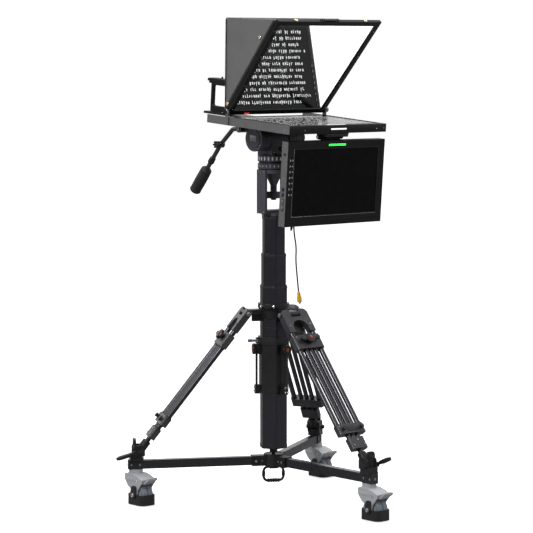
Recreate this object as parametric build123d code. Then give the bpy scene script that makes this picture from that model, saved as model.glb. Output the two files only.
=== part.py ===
from build123d import *
import math
import os

os.makedirs("parts", exist_ok=True)

# Origin: on the floor, under the column axis. +Z is up and the talent stands on the -Y side.
# ---- driving dimensions, millimetres and degrees ----------------------------------------------
LEG_AZIMUTH = {"left": 150.0, "front": -90.0, "rear": 30.0}
CLEAR = 0.3              # gap between parts that move against each other
RUN = 0.05               # radial clearance of a pin in its bore

# dolly
CASTER_R = 484.0         # column axis to a caster's swivel axis
TRAIL = 30.0             # swivel axis to axle
WHEEL_R = 37.5
WHEEL_W = 44.0
ARM_Z0 = 122.0
ARM_Z1 = 152.0
ARM_W = 25.0
ARM_WALL = 2.5
GUARD_L = 90.0
GUARD_W = 66.0
FORK_TOP = 110.0

# legs
HINGE_R = 100.0
HINGE_Z = 655.0
LEG_ANGLE = 38.2         # from vertical
FOOT_S = 595.0           # hinge to foot centre, along the leg
FOOT_R = 12.0
CLAMP_S = 466.0           # hinge to the lower clamp casting
TUBE_Y = 48.0            # outer tube centres, either side of the leg's middle
TUBE_R = 9.0
INNER_R = 8.0

# column: hexagonal tubes, sizes across the flats
OUTER_AF = 87.0
MID_AF = 80.0
TOP_AF = 74.0
TUBE_WALL = 2.5
OUTER_Z = (183.0, 747.0)
MID_Z = (300.0, 857.0)
TOP_Z = (380.0, 999.0)

# head
RISER_Z = (999.0, 1150.0)
TILT_Z = 1257.0
HEAD_TILT = 4.3          # nose-down attitude of everything above the tilt axis
DRUM_R = 42.0

# tray and prompter monitor, level frame before the head's tilt
TRAY_W = 440.0
TRAY_Y = (-325.0, 98.0)
TRAY_Z = (1307.0, 1335.5)
MON_BACK_Y = -6.0
GLASS_HINGE = (-4.0, 1346.0)
GLASS_LEAN = 37.1        # from vertical, towards the talent
GLASS_LEN = 416.0
GLASS_PIN = (-9.4, 1353.2)
GLASS_W = (440.0, 470.0)
BAR = 18.0
GLASS_T = 4.0
HOOD_TOP = 1668.0
HOOD_PEAK = 1680.0        # the hood rises a little towards the glass
HOOD_BACK = 10.0

# camera support
RISER_Y = (243.0, 338.0)
RISER_H = 107.0
RISER_W = 14.0
RAIL_W = 56.0
SCREW_R = 3.175

# talent monitor
TALENT_W = 440.0
TALENT_Y = (-323.0, -293.0)
TALENT_Z = (1000.0, 1283.0)
SCREEN = (380.0, 223.0)
SCREEN_TOP = 26.0
KEY_R = 2.6
KEY_PITCH = 19.0
KEY_COUNT = 7

# ---- helpers ------------------------------------------------------------------------------------


def block(x0, x1, y0, y1, z0, z1):
    """A box between two corners."""
    return Pos((x0 + x1) / 2, (y0 + y1) / 2, (z0 + z1) / 2) * Box(abs(x1 - x0), y1 - y0, z1 - z0)


def post(r, z0, z1, x=0.0, y=0.0):
    """An upright cylinder."""
    return Pos(x, y, (z0 + z1) / 2) * Cylinder(r, z1 - z0)


def rod_x(r, x0, x1, y, z):
    """A cylinder along X."""
    return Pos((x0 + x1) / 2, y, z) * Rot(0, 90, 0) * Cylinder(r, abs(x1 - x0))


def rod_y(r, y0, y1, x, z):
    """A cylinder along Y."""
    return Pos(x, (y0 + y1) / 2, z) * Rot(90, 0, 0) * Cylinder(r, abs(y1 - y0))


def hexagon(af, z0, z1, corner=7.0):
    """A hexagonal prism with rounded corners; its flats face the legs."""
    face = fillet(RegularPolygon(af / 2, 6, major_radius=False).vertices(), corner)
    return Pos(0, 0, z0) * extrude(face, z1 - z0)


def hex_tube(af, inner, z0, z1):
    """A hexagonal tube."""
    return hexagon(af, z0, z1) - hexagon(inner, z0 - 1, z1 + 1, 5.5)


def bar_along(points, r, bend):
    """A round bar or tube along a bent line."""
    path = FilletPolyline(*points, radius=bend)
    return sweep(Plane(origin=path @ 0, z_dir=path % 0) * Circle(r), path=path)


def around(azimuth):
    """Turns something built along +X to an azimuth about the column."""
    return Rot(0, 0, azimuth)


def save(name, shape):
    """Writes one sub-part."""
    export_step(shape, f"parts/{name}.step")


HEAD = Pos(0, 0, TILT_Z) * Rot(HEAD_TILT, 0, 0) * Pos(0, 0, -TILT_Z)

# ---- dolly --------------------------------------------------------------------------------------


def arm():
    """One square tube from the hub to a caster."""
    outer = block(24, CASTER_R + 20, -ARM_W / 2, ARM_W / 2, ARM_Z0, ARM_Z1)
    w = ARM_W / 2 - ARM_WALL
    return outer - block(20, CASTER_R - 30, -w, w, ARM_Z0 + ARM_WALL, ARM_Z1 - ARM_WALL)


def arm_space():
    """The space an arm fills inside a socket."""
    return block(24, CASTER_R + 20, -ARM_W / 2, ARM_W / 2, ARM_Z0, ARM_Z1)


def dolly_hub():
    """Central casting: three sockets, a lock knob on top and a yoke for the carrying handle."""
    hub = post(34, ARM_Z0 - 4, ARM_Z1 + 6)
    for azimuth in LEG_AZIMUTH.values():
        socket = block(0, 78, -ARM_W / 2 - 5, ARM_W / 2 + 5, ARM_Z0 - 3, ARM_Z1 + 3)
        hub += around(azimuth) * socket
        hub += around(azimuth) * rod_y(4, -ARM_W / 2 - 8, ARM_W / 2 + 8, 66, (ARM_Z0 + ARM_Z1) / 2)
    for azimuth in LEG_AZIMUTH.values():
        hub -= around(azimuth) * arm_space()
    hub += post(6, ARM_Z1 + 6, ARM_Z1 + 12) + post(13, ARM_Z1 + 12, ARM_Z1 + 24)
    yoke = block(-15, 15, -9, 9, 107, ARM_Z0 - 4)
    yoke -= rod_x(4.5 + RUN, -20, 20, 0, HANDLE_Z)
    hub += around(-30) * yoke
    return hub


HANDLE_Z = 112.5
HANDLE_W = 70.0
HANDLE_H = 48.0


def carry_handle():
    """A closed loop that swings on its straight top bar."""
    w = HANDLE_W / 2
    low = HANDLE_Z - HANDLE_H
    edge = Plane.XZ * Pos(0, HANDLE_Z - HANDLE_H / 2) * RectangleRounded(HANDLE_W, HANDLE_H, 15)
    wire = edge.faces()[0].outer_wire()
    path = wire
    loop = sweep(Plane(origin=path @ 0, z_dir=path % 0) * Circle(4.5), path=path)
    for x in (-18, -6, 6, 18):
        loop += Pos(x, 0, low + 1.0) * Sphere(5.4)
    return around(-30) * loop


LEVER_AT = (488.0, 181.0)


def foot_cradles():
    """Blocks on the arm ends with two cheeks and a stop that hold a tripod foot."""
    out = None
    y, z = LEVER_AT
    for azimuth in LEG_AZIMUTH.values():
        one = block(464, CASTER_R + 27, -15, 15, ARM_Z0 - 1, ARM_Z1 + 1)
        base = block(459, 505, -22.5, 22.5, ARM_Z1, 175)
        one += fillet(base.edges().filter_by(Axis.Z), 6)
        for side in (-1, 1):
            a, b = sorted((side * 17.3, side * 22.5))
            cheek = block(455, 496, a, b, 168, 206)
            top = cheek.edges().filter_by(Axis.Y).filter_by(lambda e: e.center().Z > 200)
            one += fillet(top, 10)
            one += rod_y(8, side * 17.3, side * 26, y, z)
        stop = block(485, 493, -17.3, 17.3, 170, 228)
        top = stop.edges().filter_by(Axis.X).filter_by(lambda e: e.center().Z > 200)
        one += fillet(top, 11)
        one -= rod_y(4 + RUN, -40, 40, y, z)
        one -= arm_space()
        placed = around(azimuth) * one
        out = placed if out is None else out + placed
    return out


def cradle_lever(azimuth, lift):
    """A paddle lever with its cross screw."""
    one = rod_y(4, -31, 35, 0, 0) + rod_y(9, 26.4, 35, 0, 0) + rod_y(7, -31, -26.4, 0, 0)
    paddle = block(0, 44, 28, 34, -4.5, 4.5)
    paddle += block(24, 62, 22, 40, -4, 4)
    paddle += Pos(62, 31, 0) * Cylinder(9, 8)
    one += paddle
    return around(azimuth) * Pos(LEVER_AT[0], 0, LEVER_AT[1]) * Rot(0, -lift, 0) * one


def swivel_at(azimuth):
    """Where a caster's swivel axis meets the floor."""
    a = math.radians(azimuth)
    return Pos(CASTER_R * math.cos(a), CASTER_R * math.sin(a), 0)


def caster_stems():
    """Raceway discs and pins under the arm ends."""
    out = None
    for azimuth in LEG_AZIMUTH.values():
        one = post(24, FORK_TOP + CLEAR, ARM_Z0 - 1) + post(6, 98, FORK_TOP + 2)
        placed = swivel_at(azimuth) * one
        out = placed if out is None else out + placed
    return out


def fork_cheek(x0, x1):
    """One side of the caster's fork, drawn in towards the axle."""
    side = Polyline((24, 106), (24, 86), (8, 66), (-14, 52), (-17, 34), (-43, 34), (-46, 54), (-60, 72),
                    (-70, 82), (-68, 92), (-48, 101), (-22, 108), (20, 108), (24, 106))
    plate = Pos(x0, 0, 0) * extrude(Plane.YZ * make_face(side), x1 - x0)
    return plate + rod_x(12.5, x0, x1, -TRAIL, WHEEL_R)


def caster_fork(azimuth):
    """Swivel plate, sloping hood, two cheeks and the axle bolt."""
    top = post(26, 99, FORK_TOP)
    hood = Polyline((24, 98), (24, 106), (20, 108), (-22, 108), (-48, 101), (-68, 92), (-67, 87.5), (-48, 94),
                    (-22, 99), (24, 98))
    top += Pos(-30, 0, 0) * extrude(Plane.YZ * make_face(hood), 60)
    top += fork_cheek(-30, -25.5) + fork_cheek(25.5, 30)
    top -= post(6 + RUN, 90, 120)
    top += rod_x(4, -37, 37, -TRAIL, WHEEL_R)
    top += rod_x(6.5, 36.5, 40, -TRAIL, WHEEL_R) + rod_x(6.5, -40, -36.5, -TRAIL, WHEEL_R)
    top -= rod_x(3 + RUN, -40, 40, -44, 86)
    return swivel_at(azimuth) * top


def caster_wheel(azimuth):
    """Twin-tread wheel with a bore for the axle."""
    half = WHEEL_W / 2
    wheel = rod_x(WHEEL_R, -half, half, -TRAIL, WHEEL_R)
    groove = rod_x(WHEEL_R + 1, -1.5, 1.5, -TRAIL, WHEEL_R)
    wheel -= groove - rod_x(WHEEL_R - 4, -2, 2, -TRAIL, WHEEL_R)
    for side in (-1, 1):
        a, b = sorted((side * (half - 2), side * (half + 1)))
        wheel -= rod_x(24, a, b, -TRAIL, WHEEL_R)
        a, b = sorted((side * (half - 3), side * (half + 2)))
        wheel += rod_x(9, a, b, -TRAIL, WHEEL_R)
    wheel = fillet(wheel.edges().filter_by(GeomType.CIRCLE).filter_by(
        lambda e: abs(e.radius - WHEEL_R) < 0.01 and abs(abs(e.center().X) - half) < 0.01), 2.5)
    wheel -= rod_x(4 + RUN, -30, 30, -TRAIL, WHEEL_R)
    return swivel_at(azimuth) * wheel


def cable_guard(azimuth):
    """Ring that stops a wheel running onto cables, with an oval cover over each axle end."""
    outer = Pos(0, -TRAIL, 3) * extrude(RectangleRounded(GUARD_W, GUARD_L, 20), 36)
    inner = Pos(0, -TRAIL, 2) * extrude(RectangleRounded(GUARD_W - 6, GUARD_L - 6, 17), 38)
    ring = outer - inner
    for x in (-36.5, 30):
        oval = Plane.YZ * Pos(-TRAIL, 47) * RectangleRounded(24, 46, 11.9)
        ring += Pos(x, 0, 0) * extrude(oval, 6.5)
    ring -= rod_x(4 + RUN, -40, 40, -TRAIL, WHEEL_R)
    return swivel_at(azimuth) * ring


def brake_pedal(azimuth):
    """Toe pedal on a cross pin, with a shoe over the tread."""
    one = rod_x(3, -29, 29, -44, 86)
    side = Polyline((-39, 80), (-39, 89), (-46, 90), (-60, 84), (-72, 86), (-88, 99), (-94, 99), (-94, 94),
                    (-72, 78), (-39, 80))
    one += Pos(-20, 0, 0) * extrude(Plane.YZ * make_face(side), 40)
    one += block(-12, 12, -56, -47, 72.2, 82)
    return swivel_at(azimuth) * one


# ---- pedestal -----------------------------------------------------------------------------------


def column_outer():
    """The fixed outer tube."""
    return hex_tube(OUTER_AF, OUTER_AF - 2 * TUBE_WALL, *OUTER_Z)


def base_plug():
    """Closes the tube's lower end and carries the filling valve."""
    plug = hexagon(OUTER_AF, 181, OUTER_Z[0]) + hexagon(OUTER_AF - 2 * TUBE_WALL, OUTER_Z[0], 203, 5.5)
    plug -= post(30, 190, 204)
    plug += post(5, 188, 214) + post(8, 188, 196)
    return plug


def lower_bush():
    """Guide ring in the mouth of the outer tube."""
    bush = hexagon(OUTER_AF - 2 * TUBE_WALL, OUTER_Z[1] - 30, OUTER_Z[1], 5.5)
    bush += hexagon(OUTER_AF, OUTER_Z[1], OUTER_Z[1] + 3)
    return bush - hexagon(MID_AF + 2 * CLEAR, OUTER_Z[1] - 40, OUTER_Z[1] + 10)


def mid_tube():
    """Second tube with a piston ring at its foot."""
    tube = hex_tube(MID_AF, MID_AF - 2 * TUBE_WALL, *MID_Z)
    ring = hexagon(OUTER_AF - 2 * TUBE_WALL - 2 * CLEAR, MID_Z[0] - 6, MID_Z[0] + 18, 5.5)
    ring -= hexagon(MID_AF - 2 * TUBE_WALL, MID_Z[0] - 8, MID_Z[0] + 20, 5.5)
    return tube + ring


def upper_bush():
    """Guide ring in the mouth of the second tube."""
    bush = hexagon(MID_AF - 2 * TUBE_WALL, MID_Z[1] - 30, MID_Z[1], 5.5)
    bush += hexagon(MID_AF, MID_Z[1], MID_Z[1] + 3)
    return bush - hexagon(TOP_AF - 1 + 2 * CLEAR, MID_Z[1] - 40, MID_Z[1] + 10, 6.5)


def top_tube():
    """Inner tube, closed by a piston at its foot."""
    tube = hexagon(TOP_AF - 1, *TOP_Z, 6.5) - hexagon(TOP_AF - 6, TOP_Z[0] + 12, TOP_Z[1] + 1, 5)
    tube += hexagon(MID_AF - 2 * TUBE_WALL - 2 * CLEAR, TOP_Z[0], TOP_Z[0] + 12, 5.5) - post(10, 370, 400)
    return tube


def tripod_collar():
    """Clamp ring and spider that carry the three legs."""
    ring = post(54.5, 671, 687) + post(51.5, 638, 671)
    for azimuth in LEG_AZIMUTH.values():
        lug = block(40, HINGE_R, -22, 22, HINGE_Z - 5, HINGE_Z + 11)
        lug += rod_y(11, -22, 22, HINGE_R, HINGE_Z)
        lug += block(45, 76, -9, 9, HINGE_Z - 30, HINGE_Z - 4)
        ring += around(azimuth) * lug
    for azimuth in LEG_AZIMUTH.values():
        ring -= around(azimuth) * rod_y(5 + RUN, -40, 40, HINGE_R, HINGE_Z)
    screw = block(50, 66, -12, 12, 673, 686) + rod_y(3.5, -22, 20, 60, 679.5)
    screw += rod_y(6, 14, 20, 60, 679.5) + rod_y(6, -22, -17, 60, 679.5)
    ring += around(-150) * screw
    return ring - hexagon(OUTER_AF, 600, 760)


def guide_sleeve():
    """Black sleeve clamped round the outer tube, with a latch band."""
    sleeve = hexagon(OUTER_AF + 7, 378, 545, 8) + hexagon(OUTER_AF + 13, 545, 571, 9)
    latch = block(45, 64, -8, 8, 548, 568) - block(50.5, 70, -9, 9, 552, 564)
    latch -= post(2.5 + RUN, 540, 575, 58, 0)
    sleeve += around(LATCH_AZIMUTH) * latch
    return sleeve - hexagon(OUTER_AF, 370, 580)


LATCH_AZIMUTH = 158.0


def clamp_lever():
    """Over-centre lever that closes the latch band."""
    one = post(2.5, 546, 570, 58, 0) + post(5.5, 552 + CLEAR, 564 - CLEAR, 58, 0)
    one += block(58, 84, -3, 3, 554, 562)
    one += block(78, 92, -7, 3, 553, 563)
    one += post(4, 546, 548, 58, 0) + post(4, 568, 570, 58, 0)
    return around(LATCH_AZIMUTH) * one


def sleeve_fittings():
    """Guide rods, brackets and clamp knobs at the leg azimuths."""
    out = None
    for azimuth in LEG_AZIMUTH.values():
        one = post(4, 392, 545, 60, 0)
        one += block(47, 66, -11, 11, 372, 403)
        for y in (-5.5, 5.5):
            one += rod_x(3.6, 66, 69, y, 395) + rod_x(3.6, 66, 69, y, 380)
        one += block(47, 64, -9, 9, 510, 545)
        one += rod_x(7, 60, 64, 0, 528) + rod_x(17, 64, 74, 0, 528)
        placed = around(azimuth) * one
        out = placed if out is None else out + placed
    return out - hexagon(OUTER_AF + 7, 360, 545, 8) - hexagon(OUTER_AF + 13, 545, 571, 9)


# ---- legs: built hanging straight down from the hinge at the origin ------------------------------


def place_leg(shape, azimuth):
    """Moves a leg part from its own frame to the collar."""
    return around(azimuth) * Pos(HINGE_R, 0, HINGE_Z) * Rot(0, -LEG_ANGLE, 0) * shape


def leg_upper():
    """Horseshoe casting, two outer tubes and the lower clamp casting."""
    arch = block(-11, 11, -58, 58, -76, 14)
    corners = arch.edges().filter_by(Axis.X).filter_by(lambda e: e.center().Z > 0)
    arch = fillet(corners, 18)
    arch -= block(-20, 20, -22.5, 22.5, -15.5, 20)
    arch -= block(-20, 20, -34, 34, -80, -64) + rod_x(34, -20, 20, 0, -64)
    arch += block(-11, 11, -34, 34, -30, -15.5)
    arch += rod_y(5, -50, 50, 0, 0) + rod_y(8, 58, 61, 0, 0) + rod_y(8, -61, -58, 0, 0)
    for y in (-TUBE_Y, TUBE_Y):
        arch += post(TUBE_R, -CLAMP_S - 18, -70, 0, y)
    low = block(-13, 13, -59, 59, -CLAMP_S - 18, -CLAMP_S + 18)
    low = fillet(low.edges().filter_by(Axis.Z), 8)
    low += rod_x(7, 13, 20, 40, -CLAMP_S) + rod_x(7, 13, 20, -40, -CLAMP_S)
    for y in (-21, 0, 21):
        low -= post(INNER_R, -CLAMP_S - 30, -CLAMP_S + 30, 0, y)
    arch += low
    return arch


def leg_lower():
    """Slider with wing knob, three inner tubes, foot casting, boot and foot."""
    slider = fillet(block(-14, 14, -60, 60, -145, -92).edges().filter_by(Axis.Z), 8)
    for y in (-TUBE_Y, TUBE_Y):
        slider -= post(TUBE_R, -150, -80, 0, y)
    slider += rod_x(10, 14, 19, 0, -112) + rod_x(17, 19, 31, 0, -112)
    slider += block(21, 29, -33, 33, -119, -105)
    for y in (-21, 0, 21):
        slider += post(INNER_R, -510, -140, 0, y)
    foot = fillet(block(-13, 13, -34, 34, -543, -500).edges().filter_by(Axis.Z), 8)
    foot += post(8.5, -560, -541)
    boot = post(15, -588, -556)
    foot += fillet(boot.edges().filter_by(GeomType.CIRCLE), 3)
    foot += rod_y(FOOT_R, -17, 17, 0, -FOOT_S)
    return slider + foot


# ---- head support -------------------------------------------------------------------------------


def riser_frame():
    """Open frame on the column with the bowl ring on top."""
    frame = block(-57, 57, -23, 23, RISER_Z[0], RISER_Z[0] + 12)
    frame += hexagon(TOP_AF + 4, RISER_Z[0] - 8, RISER_Z[0] + 2) - hexagon(TOP_AF - 1, 980, RISER_Z[0], 6.5)
    for side in (-1, 1):
        a, b = sorted((side * 49, side * 57))
        frame += block(a, b, -23, 23, RISER_Z[0], RISER_Z[1])
    frame += post(57, RISER_Z[1] - 13, RISER_Z[1])
    cone = Pos(0, 0, RISER_Z[1] - 6.5) * Cylinder(38, 14)
    return frame - cone


def half_ball():
    """Levelling half ball with its threaded stem and the pan spigot."""
    ball = post(38, RISER_Z[1] - 13, RISER_Z[1])
    ball += Pos(0, 0, 1116) * Cone(11.4, 30, 42)
    ball += post(11.4, 1074.5, 1096) + post(6, 1046, 1076)
    ball += post(9, RISER_Z[1], 1168)
    return ball


def tie_down_handle():
    """Lobed nut that draws the half ball into its bowl."""
    one = post(13, 1049, 1074) + block(-30, 30, -9, 9, 1050, 1073)
    for x in (-30, 30):
        lobe = Pos(x, 0, 1061.5) * Cylinder(12, 24)
        one += fillet(lobe.edges().filter_by(GeomType.CIRCLE), 5)
    return around(-40) * (one - post(6 + RUN, 1030, 1090))


def knurled(r, z0, z1, count=36):
    """A grip ring with flats cut round it."""
    ring = post(r, z0, z1)
    for i in range(count):
        cutter = Pos(r + 1.2, 0, (z0 + z1) / 2) * Cylinder(2.4, z1 - z0 - 4)
        ring -= Rot(0, 0, i * 360 / count) * cutter
    return ring


def pan_base():
    """Turning lower housing: two grip rings and the middle of the tilt drum."""
    base = post(46, RISER_Z[1] + 0.5, 1203)
    base += knurled(55, 1153, 1172) + knurled(55, 1178, 1199)
    base += block(-40, 40, -38, 38, 1198, TILT_Z)
    base += rod_x(36, -40, 40, 0, TILT_Z)
    base -= rod_x(12 + RUN, -60, 60, 0, TILT_Z)
    base -= post(9 + RUN, 1140, 1168.5)
    return base


def tilt_housing():
    """Two drum ends on a through axle, joined by the head's top plate."""
    left = rod_x(DRUM_R, -84, -40 - CLEAR, 0, TILT_Z) + rod_x(44, -90, -84, 0, TILT_Z)
    right = rod_x(DRUM_R, 40 + CLEAR, 104, 0, TILT_Z) + rod_x(30, 104, 118, 0, TILT_Z)
    top = block(-82, 98, -46, 46, TILT_Z + 37, TILT_Z + 43)
    body = left + right + top + rod_x(12, -45, 45, 0, TILT_Z)
    for z in (-14, 14):
        body += rod_x(6, 104, 124, z, TILT_Z + 32 - abs(z))
    body -= rod_x(4 + RUN, 105, 130, 0, TILT_Z)
    boss = block(-88, -66, 26, 62, 1282, 1300) + rod_x(13, -88, -66, *PAN_PIVOT)
    return HEAD * body + boss - rod_x(5 + RUN, -100, -60, *PAN_PIVOT)


def base_plate():
    """Quick-release plate and slider between the head and the tray."""
    plate = block(-38, 38, -75, 75, TILT_Z + 43, TRAY_Z[0] - 3)
    plate += block(-60, 60, -150, 98, TRAY_Z[0] - 3, TRAY_Z[0])
    return HEAD * plate


def drag_knob():
    """Drag control on the drum's right end."""
    one = rod_x(4, 106, 119, 0, TILT_Z) + rod_x(15, 118.5, 134, 0, TILT_Z)
    return HEAD * one


PAN_PIVOT = (62.0, 1290.0)
PAN_X = -97.0


PAN_LINE = ((62.0, 1290.0), (102.0, 1288.0), (168.0, 1233.0), (243.57, 1143.7), (311.0, 1064.0))


def pan_line(start, end):
    """Part of the pan bar's line, in the plane x = PAN_X."""
    return [(PAN_X, y, z) for y, z in PAN_LINE[start:end]]


def pan_bar():
    """Bent steering tube on a clamped pivot, with a mid joint."""
    y, z = PAN_LINE[2]
    tube = bar_along(pan_line(0, 4), 8, 18)
    pivot = rod_x(5, -92, -64, *PAN_PIVOT) + rod_x(13, PAN_X - 9, -88.5, *PAN_PIVOT)
    joint = rod_x(12, PAN_X - 10, PAN_X + 10, y, z) + rod_x(9, PAN_X - 22, PAN_X - 10, y, z)
    return tube + pivot + joint


def pan_bar_grip():
    """Ribbed rubber grip over the end of the pan bar."""
    (x0, y0, z0), (x1, y1, z1) = pan_line(3, 5)
    length = math.hypot(y1 - y0, z1 - z0)
    angle = math.degrees(math.atan2(y1 - y0, z1 - z0))
    grip = Cylinder(19.0, length, align=(Align.CENTER, Align.CENTER, Align.MIN))
    for i in range(9):
        grip += Pos(0, 0, 10 + i * 11.2) * Cylinder(21.0, 6.5, align=(Align.CENTER, Align.CENTER, Align.MIN))
    grip += Pos(0, 0, -7) * Cylinder(14, 8, align=(Align.CENTER, Align.CENTER, Align.MIN))
    grip -= Pos(0, 0, -10) * Cylinder(8, 12, align=(Align.CENTER, Align.CENTER, Align.MIN))
    return Pos(x0, y0, z0) * Rot(-angle, 0, 0) * grip


# ---- tray and prompter monitor ------------------------------------------------------------------


def tray():
    """Two side rails on a rear board that carries the hood hinges."""
    half = TRAY_W / 2
    one = block(-half + 3, half - 3, MON_BACK_Y + 1, TRAY_Y[1], TRAY_Z[0], TRAY_Z[0] + 5)
    for side in (-1, 1):
        a, b = sorted((side * (half - 3), side * half))
        one += block(a, b, *TRAY_Y, *TRAY_Z)
        a, b = sorted((side * (half - 1), side * (half + 5)))
        lug = block(a, b, GLASS_PIN[0] - 8, GLASS_PIN[0] + 8, TRAY_Z[0] + 2, TRAY_Z[1])
        a, b = sorted((side * (half + 1), side * (half + 5)))
        lug += block(a, b, GLASS_PIN[0] - 8, GLASS_PIN[0] + 8, TRAY_Z[1], GLASS_PIN[1])
        one += lug + rod_x(8, a, b, *GLASS_PIN)
    one -= rod_x(3 + RUN, half, half + 20, *GLASS_PIN)
    one -= rod_x(3 + RUN, -half - 20, -half, *GLASS_PIN)
    return HEAD * one


def monitor_case():
    """Thin case of the prompter monitor, lying face up."""
    half = TRAY_W / 2 - 3
    z0, z1 = TRAY_Z[0] + 1, TRAY_Z[1]
    case = block(-half, half, TRAY_Y[0], MON_BACK_Y, z0, z1)
    case -= block(-half + 2.5, half - 2.5, TRAY_Y[0] + 2.5, MON_BACK_Y - 2.5, z0 + 2.5, z1 - 3)
    case -= block(-half + 14, half - 14, TRAY_Y[0] + 16, MON_BACK_Y - 16, z1 - 4, z1 + 1)
    return HEAD * case


def monitor_screen():
    """Display panel of the prompter monitor."""
    half = TRAY_W / 2 - 3
    z1 = TRAY_Z[1]
    pane = block(-half + 14, half - 14, TRAY_Y[0] + 16, MON_BACK_Y - 16, z1 - 3, z1 - 0.6)
    pane += block(-half + 8, half - 8, TRAY_Y[0] + 10, MON_BACK_Y - 10, z1 - 7, z1 - 3)
    return HEAD * pane


def camera_riser():
    """Rail behind the hood and the open riser that lifts the camera."""
    z0 = TRAY_Z[0] + 5
    z1 = z0 + 8
    top = z1 + RISER_H
    half = RISER_W / 2
    one = block(-RAIL_W / 2, RAIL_W / 2, 22, RISER_Y[1] + 10, z0, z1)
    loop = block(-half, half, *RISER_Y, z1, top)
    hole = block(-half - 1, half + 1, RISER_Y[0] + 8, RISER_Y[1] - 8, z1 + 20, top - 14)
    loop -= fillet(hole.edges().filter_by(Axis.X), 8)
    return HEAD * (one + loop)


def camera_plate():
    """Sliding plate with the camera screw."""
    top = TRAY_Z[0] + 13 + RISER_H
    half = RISER_W / 2
    one = block(-20, 20, 238, 344, top + CLEAR, top + 9)
    for side in (-1, 1):
        a, b = sorted((side * (half + CLEAR), side * (half + 6)))
        one += block(a, b, 238, 344, top - 8, top + 1)
    one += post(SCREW_R, top + 9, top + 18, 0, 288)
    return HEAD * one


# ---- glass and hood: the frame is built upright with its foot at the origin ----------------------
GLASS = Pos(0, GLASS_HINGE[0], GLASS_HINGE[1]) * Rot(GLASS_LEAN, 0, 0)


def trapezoid(inset, depth, y=0.0):
    """The glass outline, drawn in by an inset."""
    w0 = GLASS_W[0] / 2 - inset
    w1 = GLASS_W[1] / 2 - inset
    line = Polyline((-w0, inset), (w0, inset), (w1, GLASS_LEN - inset), (-w1, GLASS_LEN - inset), (-w0, inset))
    return Pos(0, y + depth / 2, 0) * extrude(Plane.XZ * make_face(line), depth)


def glass_frame():
    """Black frame with hinge arms at its foot."""
    frame = trapezoid(0, 12) - trapezoid(BAR, 14) - trapezoid(BAR - 5, GLASS_T)
    frame = GLASS * frame
    half = TRAY_W / 2
    for side in (-1, 1):
        frame += rod_x(3, side * (half - 6), side * (half + 7), *GLASS_PIN)
        frame += rod_x(9, side * (half + 5.3), side * (half + 14), *GLASS_PIN)
    return HEAD * frame


def beamsplitter():
    """Part-silvered pane held in the frame's groove."""
    return HEAD * GLASS * trapezoid(BAR - 5, GLASS_T)


def hood_wedge(grow, low, front):
    """Wedge behind the glass, grown or shrunk by a wall."""
    top = HOOD_TOP + grow
    peak = HOOD_PEAK + grow
    back = HOOD_BACK + grow
    lean = math.tan(math.radians(GLASS_LEAN))
    toe = GLASS_HINGE[0] + front
    side = Polyline((toe, low), (back, low), (back, top), (toe - (peak - low) * lean, peak), (toe, low))
    wedge = Pos(-260, 0, 0) * extrude(Plane.YZ * make_face(side), 520)
    w0 = GLASS_W[0] / 2 + grow
    w1 = GLASS_W[1] / 2 + grow
    outline = Polyline((-w0, low), (w0, low), (w1, HOOD_PEAK + 20), (-w1, HOOD_PEAK + 20), (-w0, low))
    mould = Pos(0, 300, 0) * extrude(Plane.XZ * make_face(outline), 700)
    return wedge & mould


def hood():
    """Light-tight hood: two sides, back and top, with a round opening for the lens."""
    low = GLASS_HINGE[1] + 9
    front = 7.6 - 9 * math.tan(math.radians(GLASS_LEAN))
    shell = hood_wedge(0.0, low, front) - hood_wedge(-2.5, low - 5, front - 40)
    keep = hood_wedge(5.0, low, front)
    shell = shell & keep
    shell -= rod_y(95, -60, 60, 0, 1500)
    return HEAD * shell


# ---- talent monitor -----------------------------------------------------------------------------
TALENT_PIVOT = (-284.0, 1292.0)


def talent_bracket():
    """Hanger under the tray with two ears."""
    one = block(-52, 52, -320, -250, TRAY_Z[0] - 6, TRAY_Z[0] + 1)
    for side in (-1, 1):
        a, b = sorted((side * 40, side * 52))
        one += block(a, b, -293, -275, 1290, TRAY_Z[0] - 6)
        one += rod_x(9, a, b, *TALENT_PIVOT)
    one -= rod_x(4 + RUN, -60, 60, *TALENT_PIVOT)
    return HEAD * one


def key_height(index):
    """Height of a key's centre."""
    return TALENT_Z[1] - 62 - index * KEY_PITCH


def talent_case():
    """Thin case of the talent monitor with its hinge bar."""
    half = TALENT_W / 2
    (y0, y1), (z0, z1) = TALENT_Y, TALENT_Z
    case = block(-half, half, y0, y1, z0, z1)
    case -= block(-half + 2.5, half - 2.5, y0 + 3, y1 - 2.5, z0 + 2.5, z1 - 2.5)
    w = SCREEN[0] / 2
    case -= block(-w, w, y0 - 1, y0 + 4, z1 - SCREEN_TOP - SCREEN[1], z1 - SCREEN_TOP)
    for i in range(KEY_COUNT):
        case -= rod_y(KEY_R + CLEAR, y0 - 1, y0 + 4, -half + 23, key_height(i))
    case += block(-39.5, 39.5, y1, y1 + 13, 1235, 1285) + block(-39.5, 39.5, -289, -280, 1280, TALENT_PIVOT[1])
    case += rod_x(6, -39.5, 39.5, *TALENT_PIVOT) + rod_x(4, -50, 50, *TALENT_PIVOT)
    case += block(-182, -128, y1, y1 + 8, z0 + 6, z0 + 40)
    return HEAD * case


def talent_screen():
    """Display panel of the talent monitor."""
    y0, z1 = TALENT_Y[0], TALENT_Z[1]
    w = SCREEN[0] / 2
    low = z1 - SCREEN_TOP - SCREEN[1]
    pane = block(-w, w, y0 + 1, y0 + 3, low, z1 - SCREEN_TOP)
    pane += block(-w - 2, w + 2, y0 + 3, y0 + 7, low - 6, z1 - SCREEN_TOP + 6)
    return HEAD * pane


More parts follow.
